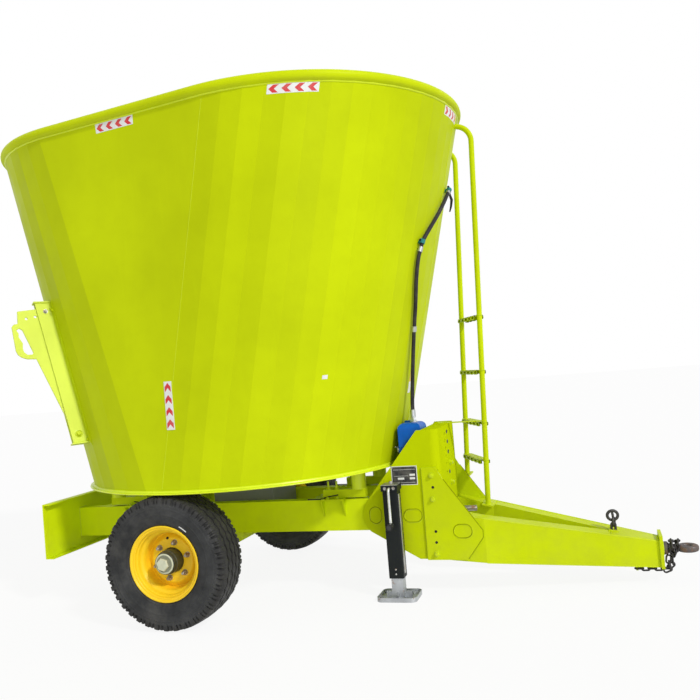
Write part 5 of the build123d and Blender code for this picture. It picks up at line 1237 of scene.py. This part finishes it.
# Discharge door: a steel plate at the front left that slides up in bolted guides along the
# leaning wall. A hydraulic cylinder with a black barrel and a plated rod lifts it, and two rubber
# hoses run from the barrel's ports down beside the guide to plain fittings on the post.
DOOR_TURN = 45
DOOR_AXIS_OUT = 0.046  # how far the cylinder's middle stands out from the wall
GUIDE_BOLT_U, RIB_U = 0.262, 0.236
HOSE_PORTS = ((1.262, -0.300), (1.775, -0.325))  # height of the port, where its hose runs down
door_low, door_high = wall(DOOR_TURN, TUB_LOW), wall(DOOR_TURN, TUB_HIGH)
door_across = Vector((-sin(radians(DOOR_TURN)), cos(radians(DOOR_TURN)), 0))
door_out = door_across.cross(door_high - door_low).normalized()
door_up = door_out.cross(door_across)


def door_point(across, up, out):
    return door_low + door_across * across + door_up * up + door_out * out


zinc = metal("zinc_plate", (0.56, 0.58, 0.60), rusty=0.12, polish=0.34)
coat_nodes(green, "door_frame", "discharge_door")
coat_nodes(black, "door_cylinder")
coat_nodes(zinc, "door_cylinder_rod")
mesh = bmesh.new()
for way in (-1, 1):
    for number in range(7):
        bolt(mesh, door_point(way * GUIDE_BOLT_U, 0.080 + 0.175 * number, 0.032), door_out, across=0.013)
piece("door_guide_bolts", "wagon", "zinc", (mesh, bolt_zinc))

mesh = bmesh.new()
for way in (-1, 1):
    foot, head = door_point(way * RIB_U, 0.100, 0.020), door_point(way * RIB_U, 0.600, 0.020)
    inward, out = door_across * way * -0.006, door_out * 0.003
    plate(mesh, (foot, foot + inward, foot + inward + out, foot + out), head - foot)
for across in (-0.028, 0.028):
    bolt(mesh, door_point(across, 0.630, 0.070), door_out, across=0.014)
piece("door_bolts_and_ribs", "door", "green", (mesh, green))

mesh = bmesh.new()
for up in (1.232, 1.270, 1.800):
    spun_ring(mesh, door_point(0, up, DOOR_AXIS_OUT), door_up, (
        (-0.006, 0.031), (-0.006, 0.0345), (0.006, 0.0345), (0.006, 0.031)), 32)
for up in (1.262, 1.775):
    root = door_point(0.030, up, DOOR_AXIS_OUT)
    tube(mesh, [root, root + door_across * 0.016], 0.009, 12)
    bolt(mesh, root + door_across * 0.014, door_across, across=0.018, washer=False)
piece("door_cylinder_rings", "wagon", "zinc", (mesh, zinc))

mesh = bmesh.new()
fittings = bmesh.new()
for number, (up, beside) in enumerate(HOSE_PORTS):
    port = door_point(-0.050, up, DOOR_AXIS_OUT)
    foot = Vector((at(1.060 + 0.030 * number), 0.301, 0.590))
    tube(mesh, rounded_path((
        port, door_point(-0.115, up + 0.01, 0.048), door_point(beside, up + 0.10 - 0.30 * number, 0.012),
        door_point(beside, 0.60, -0.006), door_point(beside, 0.02, -0.002), door_point(beside, -0.10, -0.020),
        (foot.x, 0.400, 0.595), foot), 0.07, 5), 0.0068, 10)
    turned(fittings, foot, (0, 1, 0), ((-0.001, 0.012), (0.026, 0.012), (0.028, 0.009)), 6)
    turned(fittings, port, door_across, ((-0.018, 0.0095), (0.008, 0.0105)), 14)
for up in (0.20, 0.75, 1.15):
    block(fittings, door_point((HOSE_PORTS[0][1] + HOSE_PORTS[1][1]) / 2, up, 0.003), (0.010, 0.010, 0.030))
piece("door_cylinder_hoses", "wagon", "hose", (mesh, hose_black))
piece("door_hose_fittings", "wagon", "zinc", (fittings, zinc))

# Counter-knives: a sprayed steel blade on each side swings into the tub through a slot, between
# the two cheeks of an upright bracket. A bolt and a plain pin hold it, and a plate bolted to the
# wall stiffens the skin beside the bracket.
KNIFE_TURN = 129.4
BRACKET_LOW, BRACKET_HIGH = 1.067, 1.942
PAD_LOW, PAD_HIGH, PAD_FROM, PAD_TO = 1.050, 1.940, 1.45, 4.0
PAD_BOLTS = ((1.905, 1.9), (1.895, 3.3), (1.085, 1.9))
# Painted highlight: the knives and their brackets take a paler copy of the green, for sunlight and sheen.
knife_lit_green = paint("knife_highlight_paint", (0.72, 0.84, 0.10), worn=0.3, low_dust=0.0)
for side_name, side in SIDES:
    coat_nodes(knife_lit_green, f"counter_knife_bracket_{side_name}", f"counter_knife_{side_name}")
    low, high = wall(KNIFE_TURN * side, BRACKET_LOW), wall(KNIFE_TURN * side, BRACKET_HIGH)
    out = Vector((cos(radians(KNIFE_TURN)), side * sin(radians(KNIFE_TURN)), 0))
    normal = out.cross(high - low).normalized()
    rise = normal.cross(out)
    tall = (high - low).dot(rise)
    lean = (high - low).dot(out) / tall

    def knife_point(off, up, face=0.0):
        return low + out * (off + lean * up) + rise * up + normal * face

    def beside_knife(along, across, lift):
        z = PAD_LOW + (PAD_HIGH - PAD_LOW) * across
        place = wall((KNIFE_TURN - PAD_FROM - (PAD_TO - PAD_FROM) * along) * side, z)
        return skin(flat_at(place.x, place.y, z), z, lift)

    pins = bmesh.new()
    beads = bmesh.new()
    for face in (-1, 1):
        bolt(beads, knife_point(0.046, 0.054, face * 0.019), normal * face, across=0.024)
        spot = knife_point(0.046, 0.054, face * 0.0195)
        turns = [2 * pi * step / 28 for step in range(28)]
        path = [spot + (out * cos(turn) + rise * sin(turn)) * 0.021 for turn in turns]
        tube(beads, path, 0.0022, 6, closed=True)
        bolt(pins, knife_point(0.0398, 0.843, face * 0.019), normal * face, across=0.019, stud=0.006)
        for up in (0.0, tall):
            tube(beads, [knife_point(off, up, face * 0.0195) for off in (0.0, 0.088)], 0.003, 6)
        tube(beads, [knife_point(0.003, tall * step / 8, face * 0.020) for step in range(9)], 0.0035, 6)
    piece(f"knife_pins_{side_name}", "wagon", "zinc", (pins, bolt_zinc))
    piece(f"knife_bracket_details_{side_name}", "wagon", "green", (beads, bead_green))

    mesh = lay(flat_sheet(3, 12, 0.0035, -0.002), beside_knife)
    for z, turned_by in PAD_BOLTS:
        place = wall((KNIFE_TURN - turned_by) * side, z)
        index = flat_at(place.x, place.y, z)
        bolt(mesh, skin(index, z, 0.003), skin(index, z, 1.0) - skin(index, z), across=0.017)
    piece(f"knife_wall_pad_{side_name}", "wagon", "green", (mesh, tub_green))

# Auger: an upright screw of worn steel that turns in the middle of the tub. A conical flight winds
# round its core, a strip polished by the feed runs along the flight's edge, and each knife is
# held by three bolts. Beads join the core's tube to its ends, and a bolt closes its top.
FLIGHT_TURNS, FLIGHT_FACETS = 2.25, 45
FLIGHT_LOW, FLIGHT_HIGH = 0.790, 2.120
FLIGHT_LOW_R, FLIGHT_HIGH_R = 0.930, 0.350
WEAR_SECTION = (  # outwards from the flight's edge, up from its underside
    (-0.045, 0.0145), (-0.045, 0.0175), (-0.002, 0.0175), (0.002, 0.0150), (0.002, 0.0005), (-0.002, 0.0),
)
WEAR_STEPS = 180
KNIFE_COUNT, KNIFE_FIRST, KNIFE_STEP = 7, 0.1, 0.12
KNIFE_BOLTS = ((-0.030, -0.045), (-0.030, 0.030), (-0.030, 0.090))


def flight_edge(share):
    """Turn, radius and height of the flight's edge at a share of its length."""
    radius = FLIGHT_LOW_R + share * (FLIGHT_HIGH_R - FLIGHT_LOW_R)
    return 2 * pi * FLIGHT_TURNS * share, radius, FLIGHT_LOW + share * (FLIGHT_HIGH - FLIGHT_LOW)


coat_nodes(worn_steel, "auger_core", "auger_knives")
flight_steel = metal("flight_steel", (0.40, 0.385, 0.36), rust=(0.27, 0.19, 0.13), polish=0.42, grain=60)
coat_nodes(flight_steel, "auger_flight")
mesh = bmesh.new()
row = None
for step in range(WEAR_STEPS + 1):
    turn, radius, z = flight_edge(step / WEAR_STEPS)
    half = pi * FLIGHT_TURNS / FLIGHT_FACETS
    radius *= cos(half) / cos(half * (2 * ((turn / (2 * half)) % 1.0) - 1))
    spoke = Vector((cos(turn), sin(turn), 0))
    spots = [Vector((at(TUB_MIDDLE), 0, z + up)) + spoke * (radius + out) for out, up in WEAR_SECTION]
    row = next_row(mesh, row, spots) if row else first_row(mesh, spots)
    if step in (0, WEAR_STEPS):
        bmesh.ops.contextual_create(mesh, geom=row)
piece("auger_edge_wear_strip", "auger", "worn_steel", (
    mesh, metal("polished_edge", (0.46, 0.45, 0.43), rusty=0.2, polish=0.32)))

mesh = bmesh.new()
for number in range(KNIFE_COUNT):
    turn, radius, z = flight_edge(KNIFE_FIRST + KNIFE_STEP * number)
    rise = (FLIGHT_HIGH - FLIGHT_LOW) / (2 * pi * FLIGHT_TURNS)
    radial = Vector((cos(turn), sin(turn), 0))
    along = Vector((-sin(turn) * radius, cos(turn) * radius, rise)).normalized()
    normal = radial.cross(along).normalized()
    seat = Vector((at(TUB_MIDDLE), 0, z + 0.015)) + radial * (radius - 0.030) + normal * 0.009
    for out, ahead in KNIFE_BOLTS:
        bolt(mesh, seat + radial * out + along * ahead, normal, across=0.024)
piece("auger_knife_bolts", "auger", "worn_steel", (mesh, bolt_zinc))

mesh = bmesh.new()
for z in (0.800, 2.198):
    spun_ring(mesh, (at(TUB_MIDDLE), 0, z), (0, 0, 1), (
        (-0.006, 0.188), (-0.006, 0.1945), (0.006, 0.1945), (0.006, 0.188)), 64)
bolt(mesh, (at(TUB_MIDDLE), 0, 2.330), (0, 0, 1), across=0.036)
piece("auger_core_welds", "auger", "worn_steel", (mesh, worn_steel))

# Ladder: four channel treads of slotted sheet between two round rails, bent over at the top and
# bracketed to the tub. The treads are sprayed before they are welded in, with a bead round each
# end, and a dark plate inside each flange is painted shade, so that the slots look dark.
LADDER_RAILS = (  # Y, then X and Z of the foot, and of the head
    (0.100, 1.667, 0.449, 1.760, 2.862),
    (0.480, 1.491, 0.602, 1.592, 2.824),
)
TREAD_HEIGHTS = (0.720, 0.960, 1.290, 1.640)
TREAD_WIDE, FLANGE_TALL, SHEET_T = 0.060, 0.0275, 0.0035


def rail_point(rail, z):
    y, foot_x, foot_z, head_x, head_z = rail
    share = (z - foot_z) / (head_z - foot_z)
    return Vector((at(foot_x + share * (head_x - foot_x)), y, z))


def slotted_sheet(mesh, corner, run, across, length, width, columns, rows, slot_l, slot_w):
    """One cell with a real slot, spun out both ways without a turn and put in its place."""
    cell_l, cell_w = length / columns, width / rows
    outer, inner = [], []
    for step in range(16):
        turn = 2 * pi * (step + 0.5) / 16
        reach = min(cell_l / 2 / abs(cos(turn)), cell_w / 2 / abs(sin(turn)))
        outer.append(Vector((cell_l / 2 + cos(turn) * reach, cell_w / 2 + sin(turn) * reach, 0)))
        end = math.copysign((slot_l - slot_w) / 2, cos(turn))
        inner.append(Vector((
            cell_l / 2 + end + cos(turn) * slot_w / 2, cell_w / 2 + sin(turn) * slot_w / 2, 0)))
    thick = Vector((0, 0, -SHEET_T))
    sheet = bmesh.new()
    row = first_row(sheet, outer)
    for spots in (inner, [spot + thick for spot in inner], [spot + thick for spot in outer]):
        row = next_row(sheet, row, spots)
    for step, copies in (((cell_l, 0, 0), columns - 1), ((0, cell_w, 0), rows - 1)):
        if copies:
            bmesh.ops.spin(
                sheet, geom=sheet.verts[:] + sheet.edges[:] + sheet.faces[:], cent=(0, 0, 0), axis=(0, 0, 1),
                dvec=step, angle=0.0, steps=copies, use_duplicate=True)
    place = Matrix((run, across, run.cross(across).normalized())).transposed().to_4x4()
    bmesh.ops.transform(sheet, verts=sheet.verts, matrix=Matrix.Translation(corner) @ place)
    joined(mesh, sheet)


tread_green = paint("tread_paint", shade(GREEN, 0.97), worn=1.6)
coat_nodes(tread_green, "ladder_treads")
coat_nodes(green, "ladder_rails", "ladder_brackets")
# Painted shade: a dark plate lines the inside of each tread's flanges, so the slots look dark.
treads, shade_liners, beads = bmesh.new(), bmesh.new(), bmesh.new()
for z in TREAD_HEIGHTS:
    near, far = rail_point(LADDER_RAILS[0], z), rail_point(LADDER_RAILS[1], z)
    run = (far - near).normalized()
    across = Vector((0, 0, 1)).cross(run).normalized()
    length = (far - near).length - 0.026
    start = near + run * 0.013
    slotted_sheet(treads, start - across * TREAD_WIDE / 2 + Vector((0, 0, 0.014)), run, across, length,
                  TREAD_WIDE, 11, 2, 0.024, 0.011)
    for way, top in ((-1, -0.0140), (1, 0.0135)):
        slotted_sheet(treads, start + across * way * TREAD_WIDE / 2 + Vector((0, 0, top)), run,
                      Vector((0, 0, -way)), length, FLANGE_TALL, 5, 1, 0.050, 0.016)
        low = across * way * 0.0225 + Vector((0, 0, -0.0115))
        high = across * way * 0.0225 + Vector((0, 0, 0.0100))
        left, right = near + run * 0.014, far - run * 0.014
        plate(shade_liners, (left + low, right + low, right + high, left + high), across * way * 0.002)
    for rail in LADDER_RAILS:
        spot = rail_point(rail, z) + Vector((0, 0, 0.013))
        turns = [2 * pi * step / 20 for step in range(20)]
        path = [spot + Vector((cos(turn), sin(turn), 0)) * 0.0185 for turn in turns]
        tube(beads, path, 0.003, 6, closed=True)
piece("ladder_treads_slotted", "wagon", "green", (treads, tread_green), replaces=["ladder_treads"])
piece("ladder_tread_shade_liners", "wagon", "green", (shade_liners, crease_shade_green))
piece("ladder_welds", "wagon", "green", (beads, bead_green))

# Oil tank and its hose: a blue moulded tank stands on the front, with a screw cap, a moulded seam,
# a plated fitting on top and taps at its side. A rubber hose climbs the tub from that fitting,
# with plated ferrules on it and two teal clamps that carry black levers.
TANK_Y = -0.160
FITTING_X = 1.290
HOSE_LOW, HOSE_HIGH = 1.050, 2.465
HOSE_RUN = (  # share of the height, angle round the tub, distance from its wall
    (0.138, -8.96, 0.047), (0.247, -10.01, 0.033), (0.367, -11.53, 0.023), (0.488, -13.48, 0.023),
    (0.594, -15.45, 0.020), (0.678, -16.35, 0.022), (0.746, -15.03, 0.020), (0.806, -11.35, 0.023),
    (0.873, -5.77, 0.023), (0.943, 0.0, 0.023), (1.0, 4.69, 0.024),
)
CLAMP_PLACES = (6, 10)
FERRULES = ((2, 3, 0.12), (5, 6, 0.5), (10, 9, 0.12))  # place on the run, the next one, share between them

tank_blue = plastic("tank_plastic", (0.004, 0.115, 0.58), rough=0.36, dusty=0.03)
clamp_teal = plastic("clip_plastic", (0.03, 0.22, 0.22), rough=0.5)
coat_nodes(tank_blue, "oil_tank")
coat_nodes(hose_black, "oil_hose")
coat_nodes(clamp_teal, "hose_clips")
mesh = bmesh.new()
turned(mesh, (at(FITTING_X), TANK_Y, 1.020), (0, 0, 1), ((0, 0.024), (0.006, 0.024), (0.007, 0.020)), 24)
bolt(mesh, (at(FITTING_X), TANK_Y, 1.026), (0, 0, 1), across=0.032, washer=False)
spun_ring(mesh, (at(FITTING_X), TANK_Y, 1.050), (0, 0, 1), (
    (0, 0.0125), (0, 0.0165), (0.045, 0.0155), (0.048, 0.0125)), 20)
piece("tank_fitting", "wagon", "zinc", (mesh, zinc))

mesh = bmesh.new()
tube(mesh, [(at(1.206), -0.215, 0.862), (at(1.188), -0.219, 0.862)], 0.0085, 12)
tube(mesh, [(at(1.191), -0.219, 0.848), (at(1.191), -0.219, 0.878)], 0.0055, 12)
tube(mesh, [(at(1.190), -0.222, 0.876), (at(1.176), -0.232, 0.880)], 0.004, 8)
tube(mesh, [(at(1.276), -0.2495, 0.775), (at(1.276), -0.262, 0.775), (at(1.276), -0.266, 0.760)], 0.007, 10)
piece("tank_taps", "wagon", "zinc", (mesh, zinc))

mesh = bmesh.new()
turned(mesh, (at(1.245), -0.120, 1.018), (0, 0, 1), ((0, 0.024), (0.009, 0.023), (0.011, 0.020)), 28)
left, right, front, back = at(1.2045), at(1.3475), -0.2505, -0.0695
seam = ((left, front), (right, front), (right, back), (left, back), (left, front))
tube(mesh, rounded_path([(x, y, 0.880) for x, y in seam], 0.003, 2), 0.0022, 6)
piece("tank_cap_and_seam", "wagon", "blue", (mesh, tank_blue))

hose = [wall(angle, HOSE_LOW + share * (HOSE_HIGH - HOSE_LOW), out) for share, angle, out in HOSE_RUN]
mesh = bmesh.new()
for place, ahead, share in FERRULES:
    spun_ring(mesh, hose[place].lerp(hose[ahead], share), hose[ahead] - hose[place], (
        (-0.016, 0.0125), (-0.016, 0.0152), (-0.006, 0.0158), (0.016, 0.0152), (0.018, 0.0125)), 22)
spun_ring(mesh, (at(FITTING_X), TANK_Y, 1.020), (0, 0, 1), (
    (0.0, 0.0125), (0.0, 0.0170), (0.030, 0.0170), (0.034, 0.0140), (0.034, 0.0125)), 6)
piece("hose_ferrules", "wagon", "zinc", (mesh, zinc))

mesh, levers = bmesh.new(), bmesh.new()
for place in CLAMP_PLACES:
    spot = hose[place]
    _, angle, off = HOSE_RUN[place]
    out = Vector((cos(radians(angle)), sin(radians(angle)), 0))
    run = (spot - hose[place - 1]).normalized()
    beside = out.cross(run).normalized()
    spun_ring(mesh, spot, run, ((-0.013, 0.0118), (-0.013, 0.0175), (0.013, 0.0175), (0.013, 0.0118)), 24)
    saddle = [spot - out * 0.013 + beside * a * 0.009 + run * b * 0.011 for a, b in CORNERS]
    plate(mesh, saddle, -out * (off - 0.012))
    ear = [spot + beside * 0.015 + out * a * 0.006 + run * b * 0.010 for a, b in CORNERS]
    plate(mesh, ear, beside * 0.012, 0.002)
    bolt(levers, spot + beside * 0.027, beside, across=0.010)
lever = [hose[10] + Vector(step) for step in (
    (0.0, 0.004, -0.012), (0.012, 0.010, -0.060), (0.004, 0.008, -0.105), (-0.006, 0.006, -0.135))]
tube(levers, lever, [0.007, 0.009, 0.007, 0.004], 10)
piece("hose_clamps", "wagon", "teal", (mesh, clamp_teal), replaces=["hose_clips"])
piece("hose_clamp_levers", "wagon", "teal", (levers, cap_black))

# Floor and light: a pale floor that is seen as white but takes shadows, plain daylight from all
# round, a low warm sun from the front right and a wide soft light that fills the near side.
FLOOR_HALF = 40
LAMPS = (("sun", 1.70, 6, (0.68, -0.43, 0.60)), ("fill", 0.56, 30, (0.80, -1.0, 0.04)))
mesh = bmesh.new()
bmesh.ops.create_grid(mesh, x_segments=1, y_segments=1, size=FLOOR_HALF)
floor_data = bpy.data.meshes.new("floor")
mesh.to_mesh(floor_data)
mesh.free()
floor = bpy.data.objects.new("floor", floor_data)
bpy.context.scene.collection.objects.link(floor)


def seen_directly(recipe):
    """Light Path share that is 1 for what the camera, a mirror or glass looks at."""
    path = recipe.node("ShaderNodeLightPath")
    seen = recipe.sum("MAXIMUM", path.outputs["Is Camera Ray"], path.outputs["Is Glossy Ray"])
    return recipe.sum("MAXIMUM", seen, path.outputs["Is Transmission Ray"])


finish = Finish("floor_pale")
finish.set(Base_Color=(0.86, 0.86, 0.86), Roughness=0.9, Specular_IOR_Level=0.1)
glow = finish.node("ShaderNodeEmission")
glow.inputs["Color"].default_value = (1, 1, 1, 1)
glow.inputs["Strength"].default_value = 1.0
blend = finish.node("ShaderNodeMixShader")
finish.put(blend.inputs[0], finish.sum("MULTIPLY", seen_directly(finish), 0.9))
finish.put(blend.inputs[1], finish.shader.outputs[0])
finish.put(blend.inputs[2], glow.outputs[0])
finish.put(finish.tree.nodes["Material Output"].inputs["Surface"], blend.outputs[0])
floor_data.materials.append(finish.material)

world = bpy.data.worlds.new("sky")
bpy.context.scene.world = world
world.use_nodes = True
world.node_tree.nodes.clear()
sky = Recipe(world.node_tree, None)
daylight = sky.node("ShaderNodeMixShader")
sky.put(daylight.inputs[0], seen_directly(sky))
for number, strength in ((1, 0.54), (2, 1.0)):
    plain = sky.node("ShaderNodeBackground")
    plain.inputs["Color"].default_value = (1, 1, 1, 1)
    plain.inputs["Strength"].default_value = strength
    sky.put(daylight.inputs[number], plain.outputs[0])
sky.put(sky.node("ShaderNodeOutputWorld").inputs["Surface"], daylight.outputs[0])

for name, energy, spread, toward in LAMPS:
    lamp_data = bpy.data.lights.new(name, "SUN")
    lamp_data.energy = energy
    lamp_data.angle = radians(spread)
    lamp_data.color = (1.0, 0.985, 0.955)
    lamp = bpy.data.objects.new(name, lamp_data)
    bpy.context.scene.collection.objects.link(lamp)
    lamp.rotation_mode = "QUATERNION"
    lamp.rotation_quaternion = Vector(toward).to_track_quat("Z", "Y")

# Camera: it stands off the wagon's right side, ahead of its middle, and looks in and a little
# back, almost level and rolled by a few degrees.
CAMERA_PLACE = (1.6885, -4.979, 1.394)
TURN, PITCH, ROLL = 0.2961, 0.0207, -0.0824
ahead = Vector((-sin(TURN) * cos(PITCH), cos(TURN) * cos(PITCH), sin(PITCH)))
right = Vector((cos(TURN), sin(TURN), 0))
over = right.cross(ahead)
right_rolled = right * cos(ROLL) + over * sin(ROLL)
over_rolled = over * cos(ROLL) - right * sin(ROLL)
camera_data = bpy.data.cameras.new("camera")
camera_data.sensor_width = 36
camera_data.lens = 40.96
camera_data.clip_end = 200
camera = bpy.data.objects.new("camera", camera_data)
bpy.context.scene.collection.objects.link(camera)
looking = Matrix((right_rolled, over_rolled, -ahead)).transposed().to_4x4()
camera.matrix_world = Matrix.Translation(CAMERA_PLACE) @ looking
bpy.context.scene.camera = camera
bpy.context.scene.view_settings.view_transform = "Standard"
